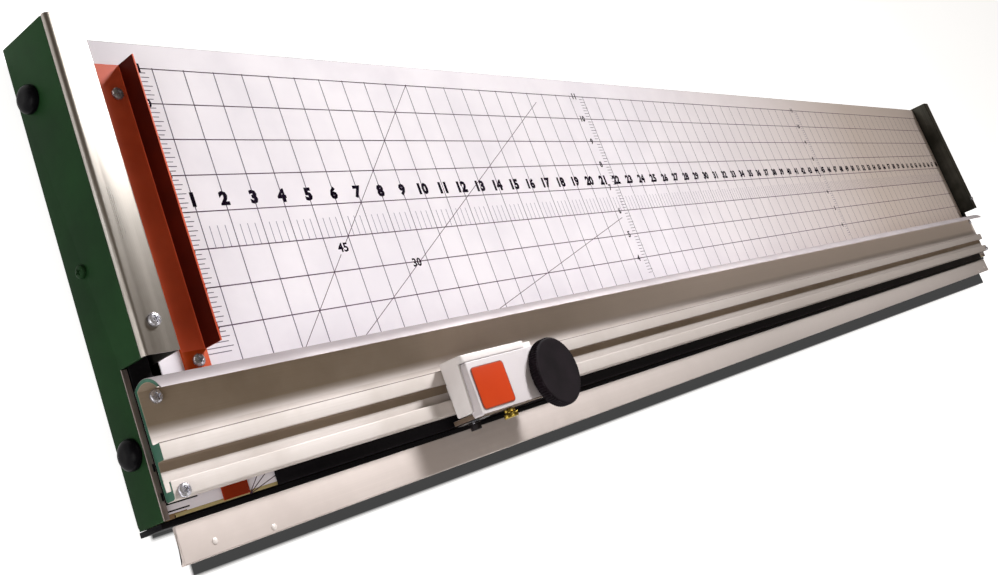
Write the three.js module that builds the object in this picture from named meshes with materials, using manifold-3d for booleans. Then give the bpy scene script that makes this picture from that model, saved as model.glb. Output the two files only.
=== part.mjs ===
// Rotary trimmer: a long gridded work board, a hinged aluminium guide rail and a sliding rotary cutter head.
// Millimetres, +Z up. X runs along the cut, +Y runs back from the operator, the feet stand at Z = 0.
import * as THREE from 'three';
import { mergeVertices } from 'three/addons/utils/BufferGeometryUtils.js';
import Module from 'manifold-3d';

const wasm = await Module();
wasm.setup();

// Driving dimensions. Heights named "above" and "below" count from the top of the work board.
const overallLength = 1828.8;
const seatGap = 0.3;
const cutOverrun = 5;
const rulerZeroInset = 60.96;

const feet = {
  radius: 11, height: 4, endInset: 14, frontInset: 24, rearInset: 26, middleFront: 8.3, middleRearInset: 12,
};
const endPlate = {
  wall: 2.5, below: 23.6, notchAt: 86.4, flangeReach: 24.4, flangeWall: 2.5, flangeRearInset: 4,
};
const board = { depth: 297.2, slotReach: 26.4, slotFrontLand: 7.9, stepPastNotch: 1.2 };
const edgeStrip = { depth: 2.3, height: 4, endInset: 8.6 };
const frontChannel = { wall: 1.8, webWall: 3.2, webTop: 3, ledgeReach: 19.9, footReach: 20 };
const rearChannel = { wall: 1.8, webTop: 3, footReach: 24 };
const apron = { wall: 2.5, below: 2.5, gap: 3.8, depth: 21.9, lipHeight: 4, lipWall: 2, endInset: 7.6 };
const endCap = { width: 24.5, sheet: 1.2, rise: 24.9, skirt: 4, innerDrop: 5, bend: 3, legRearInset: 3 };
const edgeTrim = { reach: 3.8, sheet: 0.8, legDrop: 9 };
const bumper = { radius: 9, height: 6, below: 9.7, frontAt: 40.6 };
const bumperRingShares = [[0, 0], [1, 0], [1, 0.35], [0.82, 0.7], [0.5, 0.93], [0, 1]];
const pivot = { radius: 4, below: 11.4, rearInset: 40.3, intoBoard: 12, endInset: 0.5 };
const guide = { width: 19, sheet: 1.2, height: 17, frontAt: 1, wallFrontAt: 89.4, rearInset: 19.3 };
const guideScrewPlaces = { inset: 8.9, frontAt: 83.1, rearInset: 40.5 };
const panScrew = { headRadius: 4.1, headHeight: 2.6, shankRadius: 1.8, recessRadius: 1.1, recessDepth: 1.4 };
const headShares = { shoulder: 0.45, crown: 0.62 };
const guideScrewLength = 12;
const capScrew = { inset: 11.9, at: 105.4, length: 3.4 };
const plateScrew = { at: 148.3, below: 7.9, length: 3.2 };

// Guide rail section, from its front face back and from the board up.
const rail = {
  endInset: 3.8, frontAt: 8.4, lift: 1.8, floor: 2.6, barTop: 10.4, frontSolid: 5.6, lipReach: 10.6,
  lipWall: 1.8,
  midBarAt: 30.7, midBarWidth: 10.2, noseRadius: 2, hollowRadius: 11.7, wall: 2.5, hollowCentreAt: 62.2,
  hollowCentreUp: 11.9, lipAngle: 68, beadRadius: 2,
};
const clampStrip = { wall: 1.2, frontAt: 0.1, depth: 29, startPastZero: 21.8, endInset: 34 };
const liftArm = { inset: 4.6, width: 14.2, frontAt: 9, depthBelow: 8, eyeRadius: 8.5, eyeAhead: 24 };
const eyeTurnShares = [-0.7, 0.45];
const bush = { wall: 1.7 };
const railScrew = {
  frontInset: 10.2, rearInset: 14, frontAt: 12.2, rearAt: 66.8, biteBelowBoard: 6, shankRadius: 2.1,
};

// Cutter head. Places along X count from the carriage's left end, and the head rests where the photo shows it.
const head = { restPastZero: 185 };
const carriage = {
  frontAt: 4.3, backAt: 45, backWall: 5.4, length: 104, backWallLength: 78.7, baseHeight: 8.1, above: 28.7,
  wallAbove: 32.4,
  cheek: 2, keelInset: 8, keelFrontAt: 21, keelFootReach: 6.3, keelFootHeight: 3.2, slideGap: 0.5,
  keelBackGap: 0.8,
};
const glide = { sheet: 1.2, endInset: 3, sideInset: 1 };
const block = {
  startAt: 2.6, length: 111.8, above: 33, depth: 39.2, thickness: 9.6, frontWall: 3.6, wallLength: 76,
  cornerRadius: 2.5,
  noseRadius: 15, holderLength: 38, holderAbove: 4.6, wallAbove: 12.7,
};
const label = { startInset: 2.9, length: 38.6, depth: 31.2, frontInset: 3.3, sheet: 0.4, cornerRadius: 3 };
const pins = { radius: 2.5, firstAt: 12, secondAt: 76, fromCut: 24, top: 28.4, footAbove: 13.2 };
const pinBush = { wall: 1.5, above: 31 };
const spring = {
  coilRadius: 3.9, wire: 0.9, turns: 4, seatAbove: 15.4, pocketGap: 0.6, stepsPerTurn: 12, sides: 3,
};
const blade = { radius: 12.5, sheet: 0.6, edgeBevel: 1.6, at: 15.3, boreGap: 0.3, restLift: 0.4 };
const washer = { radius: 5, sheet: 0.8 };
const axle = { radius: 2.5, past: 5.2, bite: 0.4 };
const axleNut = { radius: 4.2, height: 4.6, flats: 6 };
const knob = { radius: 27, height: 8, at: 98, fromCut: 14.8, lift: 0.5, ridge: 0.7, ridges: 48, round: 2.2 };
const insert = { wall: 3, height: 5.4 };
const stud = { radius: 4, footAbove: 25.4, intoKnob: 6 };
const thumb = {
  at: 39.4, above: 28, shankRadius: 2, depth: 12, collarRadius: 3, collar: 2.6, headRadius: 5.5, head: 4,
};
const thumbKnurl = { ridges: 20, ridge: 0.35, standOff: 0.6 };

// Places worked out from the sizes above.
const halfLength = overallLength / 2;
const boardTop = feet.height + endPlate.below;
const plateInner = halfLength - endPlate.wall;
const boardUnder = -(endPlate.below - endPlate.flangeWall - seatGap);
const rearY = board.depth + seatGap + rearChannel.wall;
const pivotY = rearY - pivot.rearInset;
const guideRearY = rearY - guide.rearInset;
const apronFrontY = -apron.gap - apron.depth;
const rulerZeroX = -halfLength + rulerZeroInset;
const channelHalf = plateInner - endPlate.flangeReach - seatGap;
const bladeY = -seatGap;
const pinAxisZ = -pivot.below;

const sidesRound = 24;
const sidesSmall = 12;
const mergeDistance = 1e-4;

const paint = (color, roughness, metalness) => new THREE.MeshStandardMaterial({ color, roughness, metalness });
const finishes = {
  laminate: paint(0xe8e4ea, 0.35, 0),
  greenPaint: paint(0x23402a, 0.55, 0),
  stainless: paint(0xa9a297, 0.32, 1),
  aluminium: paint(0xcfc8c4, 0.38, 1),
  headPaint: paint(0xd9d5d6, 0.45, 0),
  redPaint: paint(0x8a3312, 0.4, 0),
  blackPaint: paint(0x17161b, 0.5, 0),
  rubber: paint(0x18181c, 0.75, 0),
  knobPlastic: paint(0x2a262c, 0.6, 0),
  labelFilm: paint(0xcf4a22, 0.4, 0),
  brass: paint(0xb59a3c, 0.3, 1),
  steel: paint(0xb8b8bc, 0.3, 1),
  nylon: paint(0xe4e0d2, 0.5, 0),
};

// Each kind of axis turns a shape drawn in its own plane into the object's frame.
const basisOf = {
  x: new THREE.Matrix4().makeBasis(
    new THREE.Vector3(0, 1, 0), new THREE.Vector3(0, 0, 1), new THREE.Vector3(1, 0, 0)),
  y: new THREE.Matrix4().makeBasis(
    new THREE.Vector3(1, 0, 0), new THREE.Vector3(0, 0, 1), new THREE.Vector3(0, -1, 0)),
  z: new THREE.Matrix4(),
};

function outline(points) {
  return new THREE.Shape(points.map(([across, up]) => new THREE.Vector2(across, up)));
}

// Extrudes a shape drawn in (Y, Z), (X, Z) or (X, Y) from one place along the axis to another.
function extrude(axis, shape, from, to, curveSegments = sidesSmall) {
  const geometry = new THREE.ExtrudeGeometry(shape, { depth: to - from, bevelEnabled: false, curveSegments });
  const start = axis === 'y' ? -to : from;
  geometry.translate(0, 0, start);
  return geometry.applyMatrix4(basisOf[axis]);
}

// A rectangle whose left and right corners have their own radius.
function roundedOutline([x0, x1], [y0, y1], leftRadius, rightRadius = leftRadius) {
  const shape = new THREE.Shape();
  shape.moveTo(x0 + leftRadius, y0);
  shape.lineTo(x1 - rightRadius, y0);
  shape.absarc(x1 - rightRadius, y0 + rightRadius, rightRadius, -Math.PI / 2, 0, false);
  shape.absarc(x1 - rightRadius, y1 - rightRadius, rightRadius, 0, Math.PI / 2, false);
  shape.absarc(x0 + leftRadius, y1 - leftRadius, leftRadius, Math.PI / 2, Math.PI, false);
  shape.absarc(x0 + leftRadius, y0 + leftRadius, leftRadius, Math.PI, Math.PI * 1.5, false);
  return shape;
}

function slab(x, y, z) {
  const geometry = new THREE.BoxGeometry(x[1] - x[0], y[1] - y[0], z[1] - z[0]);
  return geometry.translate((x[0] + x[1]) / 2, (y[0] + y[1]) / 2, (z[0] + z[1]) / 2);
}

// A lathe turns about its own Y axis; each entry lays that axis along a direction of the object.
const layAlong = {
  x: (geometry) => geometry.rotateZ(-Math.PI / 2),
  '-x': (geometry) => geometry.rotateZ(Math.PI / 2),
  y: (geometry) => geometry,
  '-y': (geometry) => geometry.rotateX(Math.PI),
  z: (geometry) => geometry.rotateX(Math.PI / 2),
  '-z': (geometry) => geometry.rotateX(-Math.PI / 2),
};

// Turns a closed profile of [radius, height] about an axis through a place; heights run along the axis.
function turned(axis, place, profile, sides = sidesRound) {
  const geometry = new THREE.LatheGeometry(profile.map(([r, h]) => new THREE.Vector2(r, h)), sides);
  return layAlong[axis](geometry).translate(...place);
}

function rod(axis, place, radius, length, sides = sidesRound) {
  return turned(axis, place, [[0, 0], [radius, 0], [radius, length], [0, length]], sides);
}

function tube(axis, place, inner, outer, length, sides = sidesRound) {
  return turned(axis, place, [[inner, 0], [outer, 0], [outer, length], [inner, length], [inner, 0]], sides);
}

function signedVolume(position, index) {
  const [a, b, c] = [new THREE.Vector3(), new THREE.Vector3(), new THREE.Vector3()];
  let sum = 0;
  for (let i = 0; i < index.length; i += 3) {
    a.fromBufferAttribute(position, index[i]);
    b.fromBufferAttribute(position, index[i + 1]);
    c.fromBufferAttribute(position, index[i + 2]);
    sum += a.dot(b.cross(c)) / 6;
  }
  return sum;
}

// Merges a geometry's shared vertices, drops empty triangles, faces it outwards and makes it a solid.
function toSolid(geometry) {
  const bare = new THREE.BufferGeometry();
  bare.setAttribute('position', geometry.getAttribute('position').clone());
  if (geometry.index) bare.setIndex(geometry.index.clone());
  const merged = mergeVertices(bare, mergeDistance);
  const position = merged.getAttribute('position');
  const kept = [];
  for (let i = 0; i < merged.index.count; i += 3) {
    const [a, b, c] = [0, 1, 2].map((k) => merged.index.getX(i + k));
    if (a !== b && b !== c && c !== a) kept.push(a, b, c);
  }
  if (signedVolume(position, kept) < 0) kept.reverse();
  const mesh = new wasm.Mesh({ numProp: 3, vertProperties: new Float32Array(position.array),
    triVerts: new Uint32Array(kept) });
  mesh.merge();
  return new wasm.Manifold(mesh);
}

function toGeometry(solid) {
  const mesh = solid.getMesh();
  const geometry = new THREE.BufferGeometry();
  geometry.setAttribute('position', new THREE.BufferAttribute(new Float32Array(mesh.vertProperties), 3));
  geometry.setIndex(new THREE.BufferAttribute(new Uint32Array(mesh.triVerts), 1));
  geometry.computeVertexNormals();
  return geometry;
}

const joined = (...parts) => parts.map(toSolid).reduce((a, b) => a.add(b));
const cut = (body, ...tools) => tools.reduce((a, b) => a.subtract(toSolid(b)),
  body.getMesh ? body : toSolid(body));
const bothEnds = [-1, 1];

const group = new THREE.Group();
const machine = new THREE.Group();
machine.position.set(0, -(rearY + apronFrontY) / 2, boardTop);
group.add(machine);
const headGroup = new THREE.Group();
headGroup.position.x = rulerZeroX + head.restPastZero;
machine.add(headGroup);

function piece(name, shape, finish, parent = machine) {
  const mesh = new THREE.Mesh(toGeometry(shape.getMesh ? shape : toSolid(shape)), finish);
  mesh.name = name;
  parent.add(mesh);
}

// A span along X that starts some way inside an end of the object, on the left (-1) or the right (1).
function inward(side, near, far) {
  const ends = [side * (halfLength - near), side * (halfLength - far)];
  return side < 0 ? ends : ends.reverse();
}

const nameOf = (side) => (side < 0 ? 'left' : 'right');

// A round hole that a shank passes with the seat gap all round.
function holeFor(axis, place, radius, length) {
  return rod(axis, place, radius + seatGap, length, sidesSmall);
}

// A pan head on its shank, with a drive recess; the place is the underside of the head.
function panHeadScrew(axis, place, size, length, shankRadius = size.shankRadius) {
  const { headRadius, headHeight, recessRadius, recessDepth } = size;
  const shoulder = headHeight * headShares.shoulder;
  const crown = headRadius * headShares.crown;
  return turned(axis, place, [
    [0, -length], [shankRadius, -length], [shankRadius, 0], [headRadius, 0], [headRadius, shoulder],
    [crown, headHeight], [recessRadius, headHeight], [0, headHeight - recessDepth],
  ], sidesSmall);
}

// Work board: a wide sheet with a slot for a lift arm at each end, and a rebate for the cutting edge strip.
function makeBoard() {
  const landHalf = halfLength - edgeTrim.reach - seatGap;
  const armHalf = halfLength - board.slotReach;
  const coverHalf = halfLength - endCap.width - seatGap;
  const stepY = endPlate.notchAt + board.stepPastNotch;
  const rightSide = [
    [landHalf, 0], [landHalf, board.slotFrontLand], [armHalf, board.slotFrontLand], [armHalf, stepY],
    [coverHalf, stepY], [coverHalf, board.depth],
  ];
  const leftSide = rightSide.map(([x, y]) => [-x, y]).reverse();
  const sheet = extrude('z', outline([...rightSide, ...leftSide]), boardUnder, 0);
  const rebateHalf = halfLength - edgeStrip.endInset + seatGap;
  const rebate = slab([-rebateHalf, rebateHalf], [-cutOverrun, edgeStrip.depth + seatGap],
    [-edgeStrip.height - seatGap, cutOverrun]);
  const pinBores = bothEnds.map((side) => holeFor(side < 0 ? 'x' : '-x', [side * halfLength, pivotY, pinAxisZ],
    pivot.radius, endCap.width + pivot.intoBoard + seatGap));
  const guideBores = guideScrewYs().map((y) => holeFor('-z', [guideScrewX, y, cutOverrun],
    panScrew.shankRadius, guideScrewLength + cutOverrun));
  piece('work_board', cut(sheet, rebate, ...pinBores, ...guideBores), finishes.laminate);
}

const guideScrewX = rulerZeroX - guideScrewPlaces.inset;
const guideScrewYs = () => [guideScrewPlaces.frontAt, rearY - guideScrewPlaces.rearInset];

// Cutting edge: a hard strip let into the front of the board, flush with its top.
function makeCuttingEdge() {
  const half = halfLength - edgeStrip.endInset;
  piece('cutting_edge_strip', slab([-half, half], [0, edgeStrip.depth], [-edgeStrip.height, 0]),
    finishes.brass);
}

// Front channel: a web below the cut from end to end, a ledge under the apron and a foot under the board.
function makeFrontChannel() {
  const { wall, webWall, webTop, ledgeReach, footReach } = frontChannel;
  const webBack = -seatGap;
  const webFront = webBack - webWall;
  const under = -endPlate.below;
  const ledgeTop = -apron.below - apron.wall - seatGap;
  const section = outline([
    [webFront, under], [footReach, under], [footReach, under + wall], [webBack, under + wall],
    [webBack, ledgeTop],
    [webFront - ledgeReach, ledgeTop], [webFront - ledgeReach, ledgeTop - wall], [webFront, ledgeTop - wall],
  ]);
  const web = slab([-halfLength, halfLength], [webFront, webBack], [under, -webTop]);
  piece('front_channel', joined(extrude('x', section, -channelHalf, channelHalf), web), finishes.blackPaint);
}

// Rear channel: a web that closes the back from end plate to end plate, and a foot forward under the board.
function makeRearChannel() {
  const { wall, webTop, footReach } = rearChannel;
  const under = -endPlate.below;
  const webHalf = plateInner - seatGap;
  const web = slab([-webHalf, webHalf], [rearY - wall, rearY], [boardUnder, -webTop]);
  const corner = slab([-channelHalf, channelHalf], [rearY - wall, rearY], [under, -webTop]);
  const foot = slab([-channelHalf, channelHalf], [rearY - footReach, rearY], [under, under + wall]);
  piece('rear_channel', joined(web, corner, foot), finishes.blackPaint);
}

// Front apron: a flat ledge in front of the cut, with a lip folded down.
function makeApron() {
  const top = -apron.below;
  const half = halfLength - apron.endInset;
  const section = outline([
    [apronFrontY, top - apron.lipHeight], [apronFrontY + apron.lipWall, top - apron.lipHeight],
    [apronFrontY + apron.lipWall, top - apron.wall], [-apron.gap, top - apron.wall], [-apron.gap, top],
    [apronFrontY, top],
  ]);
  piece('front_apron', extrude('x', section, -half, half), finishes.aluminium);
}

// End plate: high behind the notch, level with the board before it, with a foot under the board.
function makeEndPlate(side) {
  const name = nameOf(side);
  const rise = endCap.rise - endCap.skirt - seatGap;
  const face = outline([
    [0, -endPlate.below], [rearY, -endPlate.below], [rearY, rise], [endPlate.notchAt, rise],
    [endPlate.notchAt, 0], [0, 0],
  ]);
  const foot = slab(inward(side, 0, endPlate.wall + endPlate.flangeReach),
    [0, rearY - endPlate.flangeRearInset], [-endPlate.below, -endPlate.below + endPlate.flangeWall]);
  const outside = side * (halfLength + cutOverrun);
  const toInside = side < 0 ? 'x' : '-x';
  const bores = [
    holeFor(toInside, [outside, pivotY, pinAxisZ], pivot.radius, endPlate.wall + 2 * cutOverrun),
    holeFor(toInside, [outside, plateScrew.at, -plateScrew.below], panScrew.shankRadius,
      endPlate.wall + 2 * cutOverrun),
  ];
  const sheet = joined(extrude('x', face, ...inward(side, 0, endPlate.wall)), foot);
  piece(`${name}_end_plate`, cut(sheet, ...bores), finishes.greenPaint);
}

// End cap: a folded channel over the high part of the end plate, its inner leg beside the board's edge.
function makeEndCap(side) {
  const name = nameOf(side);
  const { width, sheet, rise, skirt, innerDrop, bend } = endCap;
  const shape = new THREE.Shape();
  shape.moveTo(0, rise - skirt);
  shape.lineTo(0, rise - bend);
  shape.absarc(bend, rise - bend, bend, Math.PI, Math.PI / 2, true);
  shape.lineTo(width, rise);
  shape.lineTo(width, -innerDrop);
  shape.lineTo(width - sheet, -innerDrop);
  shape.lineTo(width - sheet, rise - sheet);
  shape.lineTo(bend, rise - sheet);
  shape.absarc(bend, rise - bend, bend - sheet, Math.PI / 2, Math.PI, false);
  shape.lineTo(sheet, rise - skirt);
  const channel = extrude('y', shape, endPlate.notchAt, rearY, sidesSmall / 2);
  if (side > 0) channel.scale(-1, 1, 1);
  channel.translate(side * halfLength, 0, 0);
  const bore = holeFor('z', [side * (halfLength - capScrew.inset), capScrew.at, 0], panScrew.shankRadius,
    rise + cutOverrun);
  const legRelief = slab(inward(side, bend, width + cutOverrun),
    [rearY - endCap.legRearInset, rearY + cutOverrun],
    [-innerDrop - cutOverrun, seatGap]);
  piece(`${name}_end_cap`, cut(channel, bore, legRelief), finishes.stainless);
}

function makeEdgeTrim(side) {
  const name = nameOf(side);
  const along = [0, endPlate.notchAt - seatGap];
  const cover = slab(inward(side, 0, edgeTrim.reach), along, [seatGap, seatGap + edgeTrim.sheet]);
  const leg = slab(inward(side, edgeTrim.reach - edgeTrim.sheet, edgeTrim.reach),
    [board.slotFrontLand + seatGap, endPlate.notchAt - seatGap], [-edgeTrim.legDrop, seatGap + edgeTrim.sheet]);
  piece(`${name}_edge_trim`, joined(cover, leg), finishes.stainless);
}

// Each end has a screw down through the cap, a screw in through the plate, and two domed bumpers.
function makeEndFittings(side) {
  const name = nameOf(side);
  const outward = side < 0 ? '-x' : 'x';
  const face = side * (halfLength + seatGap);
  piece(`${name}_cap_screw`, panHeadScrew('z',
    [side * (halfLength - capScrew.inset), capScrew.at, endCap.rise + seatGap],
    panScrew, capScrew.length), finishes.steel);
  piece(`${name}_plate_screw`, panHeadScrew(outward, [face, plateScrew.at, -plateScrew.below], panScrew,
    plateScrew.length), finishes.steel);
  const profile = bumperRingShares.map(([r, h]) => [r * bumper.radius, h * bumper.height]);
  const places = { front: bumper.frontAt, rear: pivotY };
  for (const [end, y] of Object.entries(places)) {
    piece(`${name}_${end}_bumper`, turned(outward, [face, y, -bumper.below], profile), finishes.rubber);
  }
}

// Feet: a pair under each end plate and a pair under the middle of the channels.
function makeFeet() {
  const under = -endPlate.below - seatGap;
  const endX = halfLength - feet.endInset;
  const pads = {
    front_left_foot: [-endX, feet.frontInset],
    rear_left_foot: [-endX, rearY - feet.rearInset],
    front_middle_foot: [0, feet.middleFront],
    rear_middle_foot: [0, rearY - feet.middleRearInset],
    front_right_foot: [endX, feet.frontInset],
    rear_right_foot: [endX, rearY - feet.rearInset],
  };
  for (const [name, [x, y]] of Object.entries(pads)) {
    piece(name, rod('-z', [x, y, under], feet.radius, feet.height - seatGap), finishes.rubber);
  }
}

// Squaring guide: a flange flat on the board that passes under the rail, and an upright wall behind the rail.
function makeGuide() {
  const x0 = rulerZeroX - guide.width;
  const flange = slab([x0, rulerZeroX], [guide.frontAt, guideRearY], [seatGap, seatGap + guide.sheet]);
  const wall = slab([rulerZeroX - guide.sheet, rulerZeroX], [guide.wallFrontAt, guideRearY],
    [seatGap, guide.height]);
  const bores = guideScrewYs().map((y) => holeFor('z', [guideScrewX, y, -cutOverrun], panScrew.shankRadius,
    guide.sheet + 2 * cutOverrun));
  piece('squaring_guide', cut(joined(flange, wall), ...bores), finishes.redPaint);
  const [front, rear] = guideScrewYs().map((y) => panHeadScrew('z', [guideScrewX, y, guide.sheet + 2 * seatGap],
    panScrew, guideScrewLength));
  piece('front_guide_screw', front, finishes.steel);
  piece('rear_guide_screw', rear, finishes.steel);
}

// Guide rail: front bar with a lip over a groove, raised middle bar, floor, and a curved back wall with a bead.
function railSection() {
  const { frontAt, lift, floor, barTop, frontSolid, lipReach, lipWall } = rail;
  const { midBarAt, midBarWidth, noseRadius } = rail;
  const { hollowRadius, wall, hollowCentreAt, hollowCentreUp, lipAngle, beadRadius } = rail;
  const floorTop = lift + floor;
  const outer = hollowRadius + wall;
  const lipTurn = THREE.MathUtils.degToRad(lipAngle);
  const outerStart = -Math.asin((hollowCentreUp - lift) / outer);
  const innerStart = -Math.asin((hollowCentreUp - floorTop) / hollowRadius);
  const beadAt = outer - beadRadius;
  const beadY = hollowCentreAt + beadAt * Math.cos(lipTurn);
  const beadZ = hollowCentreUp + beadAt * Math.sin(lipTurn);
  const blendTurn = Math.acos((beadAt ** 2 + hollowRadius ** 2 - beadRadius ** 2) / (2 * beadAt * hollowRadius));
  const meetY = hollowCentreAt + hollowRadius * Math.cos(lipTurn - blendTurn);
  const meetZ = hollowCentreUp + hollowRadius * Math.sin(lipTurn - blendTurn);
  const beadEnd = Math.atan2(meetZ - beadZ, meetY - beadY);
  const shape = new THREE.Shape();
  shape.moveTo(frontAt + noseRadius, lift);
  shape.absarc(hollowCentreAt, hollowCentreUp, outer, outerStart, lipTurn, false);
  shape.absarc(beadY, beadZ, beadRadius, lipTurn, beadEnd, false);
  shape.absarc(hollowCentreAt, hollowCentreUp, hollowRadius, lipTurn - blendTurn, innerStart, true);
  shape.lineTo(midBarAt + midBarWidth, floorTop);
  shape.lineTo(midBarAt + midBarWidth, barTop);
  shape.lineTo(midBarAt, barTop);
  shape.lineTo(midBarAt, floorTop);
  shape.lineTo(frontAt + frontSolid, floorTop);
  shape.lineTo(frontAt + frontSolid, barTop - lipWall);
  shape.lineTo(frontAt + lipReach, barTop - lipWall);
  shape.lineTo(frontAt + lipReach, barTop);
  shape.absarc(frontAt + noseRadius, barTop - noseRadius, noseRadius, Math.PI / 2, Math.PI, false);
  shape.absarc(frontAt + noseRadius, lift + noseRadius, noseRadius, Math.PI, Math.PI * 1.5, false);
  return shape;
}

const railScrewRows = [
  { row: 'front', inset: railScrew.frontInset, y: railScrew.frontAt, z: rail.barTop },
  { row: 'rear', inset: railScrew.rearInset, y: railScrew.rearAt, z: rail.lift + rail.floor },
];
const railScrewPlaces = bothEnds.flatMap((side) => railScrewRows.map(({ row, inset, y, z }) => (
  { name: `${row}_${nameOf(side)}`, side, x: side * (halfLength - inset), y, z })));

function makeRail() {
  const half = halfLength - rail.endInset;
  const bores = railScrewPlaces.map(({ x, y, z }) => holeFor('-z', [x, y, z + cutOverrun],
    railScrew.shankRadius,
    z + 2 * cutOverrun));
  piece('guide_rail', cut(extrude('x', railSection(), -half, half), ...bores), finishes.aluminium);
  for (const { name, x, y, z } of railScrewPlaces) {
    piece(`${name}_rail_screw`, panHeadScrew('z', [x, y, z + seatGap], panScrew, z + railScrew.biteBelowBoard,
      railScrew.shankRadius), finishes.steel);
  }
  const stripTop = rail.lift - seatGap;
  piece('clamp_strip', slab([rulerZeroX + clampStrip.startPastZero, halfLength - clampStrip.endInset],
    [clampStrip.frontAt, clampStrip.frontAt + clampStrip.depth], [stripTop - clampStrip.wall, stripTop]),
    finishes.rubber);
}

// Lift arm: a flat bar under each end of the rail that runs back to an eye on the hinge pin.
function makeLiftArm(side) {
  const name = nameOf(side);
  const { inset, width, frontAt, depthBelow, eyeRadius, eyeAhead } = liftArm;
  const top = rail.lift - seatGap;
  const shape = new THREE.Shape();
  shape.moveTo(frontAt, top);
  shape.lineTo(frontAt, -depthBelow);
  shape.lineTo(pivotY - eyeAhead, -depthBelow);
  shape.absarc(pivotY, pinAxisZ, eyeRadius, eyeTurnShares[0] * Math.PI, eyeTurnShares[1] * Math.PI, false);
  shape.lineTo(pivotY - eyeAhead, top);
  const across = inward(side, inset, inset + width);
  const screwBores = railScrewPlaces.filter((place) => place.side === side)
    .map(({ x, y }) => holeFor('-z', [x, y, top + cutOverrun], railScrew.shankRadius,
      cutOverrun + top + railScrew.biteBelowBoard));
  const eyeBore = rod(side < 0 ? 'x' : '-x', [side * halfLength, pivotY, pinAxisZ],
    pivot.radius + bush.wall + 2 * seatGap, endCap.width + cutOverrun);
  piece(`${name}_lift_arm`, cut(extrude('x', shape, ...across), ...screwBores, eyeBore), finishes.blackPaint);
  const outward = side < 0 ? 'x' : '-x';
  piece(`${name}_pivot_bush`, tube(outward, [side * (halfLength - inset), pivotY, pinAxisZ],
    pivot.radius + seatGap, pivot.radius + bush.wall + seatGap, width), finishes.brass);
  piece(`${name}_pivot_pin`, rod(outward, [side * (halfLength - pivot.endInset), pivotY, pinAxisZ],
    pivot.radius, endCap.width + pivot.intoBoard - pivot.endInset), finishes.steel);
}

// Slide carriage: a base over the two bars, a keel hooked under the rail's lip, a back wall and a left cheek.
const carriageUnder = rail.barTop + glide.sheet + 2 * seatGap;
const carriageBaseTop = carriageUnder + carriage.baseHeight;
const keelBackY = rail.midBarAt - carriage.keelBackGap;
const pinPlaces = [pins.firstAt, pins.secondAt].map((x) => [x, pins.fromCut]);

function makeCarriage() {
  const { frontAt, backAt, backWall, length, backWallLength, above, wallAbove, cheek, slideGap } = carriage;
  const keelBottom = rail.lift + rail.floor + slideGap;
  const footTop = keelBottom + carriage.keelFootHeight;
  const sill = carriageBaseTop - seatGap;
  const keelSection = outline([
    [carriage.keelFrontAt, sill], [carriage.keelFrontAt, footTop],
    [carriage.keelFrontAt - carriage.keelFootReach, footTop],
    [carriage.keelFrontAt - carriage.keelFootReach, keelBottom], [keelBackY, keelBottom], [keelBackY, sill],
  ]);
  const keel = extrude('x', keelSection, carriage.keelInset, length - carriage.keelInset);
  const base = slab([0, length], [frontAt, backAt], [carriageUnder, carriageBaseTop]);
  const wall = slab([0, backWallLength], [backAt - backWall, backAt], [sill, wallAbove]);
  const end = slab([0, cheek], [frontAt, backAt], [sill, above]);
  const bores = pinPlaces.flatMap(([x, y]) => [
    rod('z', [x, y, pins.footAbove - seatGap], pins.radius + seatGap, above),
    rod('z', [x, y, spring.seatAbove - seatGap], springOuter + spring.pocketGap, above),
  ]);
  piece('slide_carriage', cut(joined(base, keel, wall, end), ...bores), finishes.headPaint, headGroup);
  const glideX = [glide.endInset, length - glide.endInset];
  const glideZ = [rail.barTop + seatGap, rail.barTop + seatGap + glide.sheet];
  const railLipY = rail.frontAt + rail.lipReach;
  piece('front_glide_strip', slab(glideX, [rail.frontAt + glide.sideInset, railLipY - glide.sideInset], glideZ),
    finishes.nylon, headGroup);
  const midBar = [rail.midBarAt + glide.sideInset, rail.midBarAt + rail.midBarWidth - glide.sideInset];
  piece('rear_glide_strip', slab(glideX, midBar, glideZ), finishes.nylon, headGroup);
  pinPlaces.forEach(([x, y], i) => {
    piece(`${nameOf(bothEnds[i])}_guide_pin`,
      rod('z', [x, y, pins.footAbove], pins.radius, pins.top - pins.footAbove),
      finishes.steel, headGroup);
  });
}

// Blade block: a plate over the carriage, with a front wall that reaches down to hold the blade at the cut.
const blockUnder = block.above - block.thickness;
const bladeX = blade.at;
const bladeZ = blade.radius + blade.restLift;
const springOuter = spring.coilRadius + spring.wire / 2;

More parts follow.
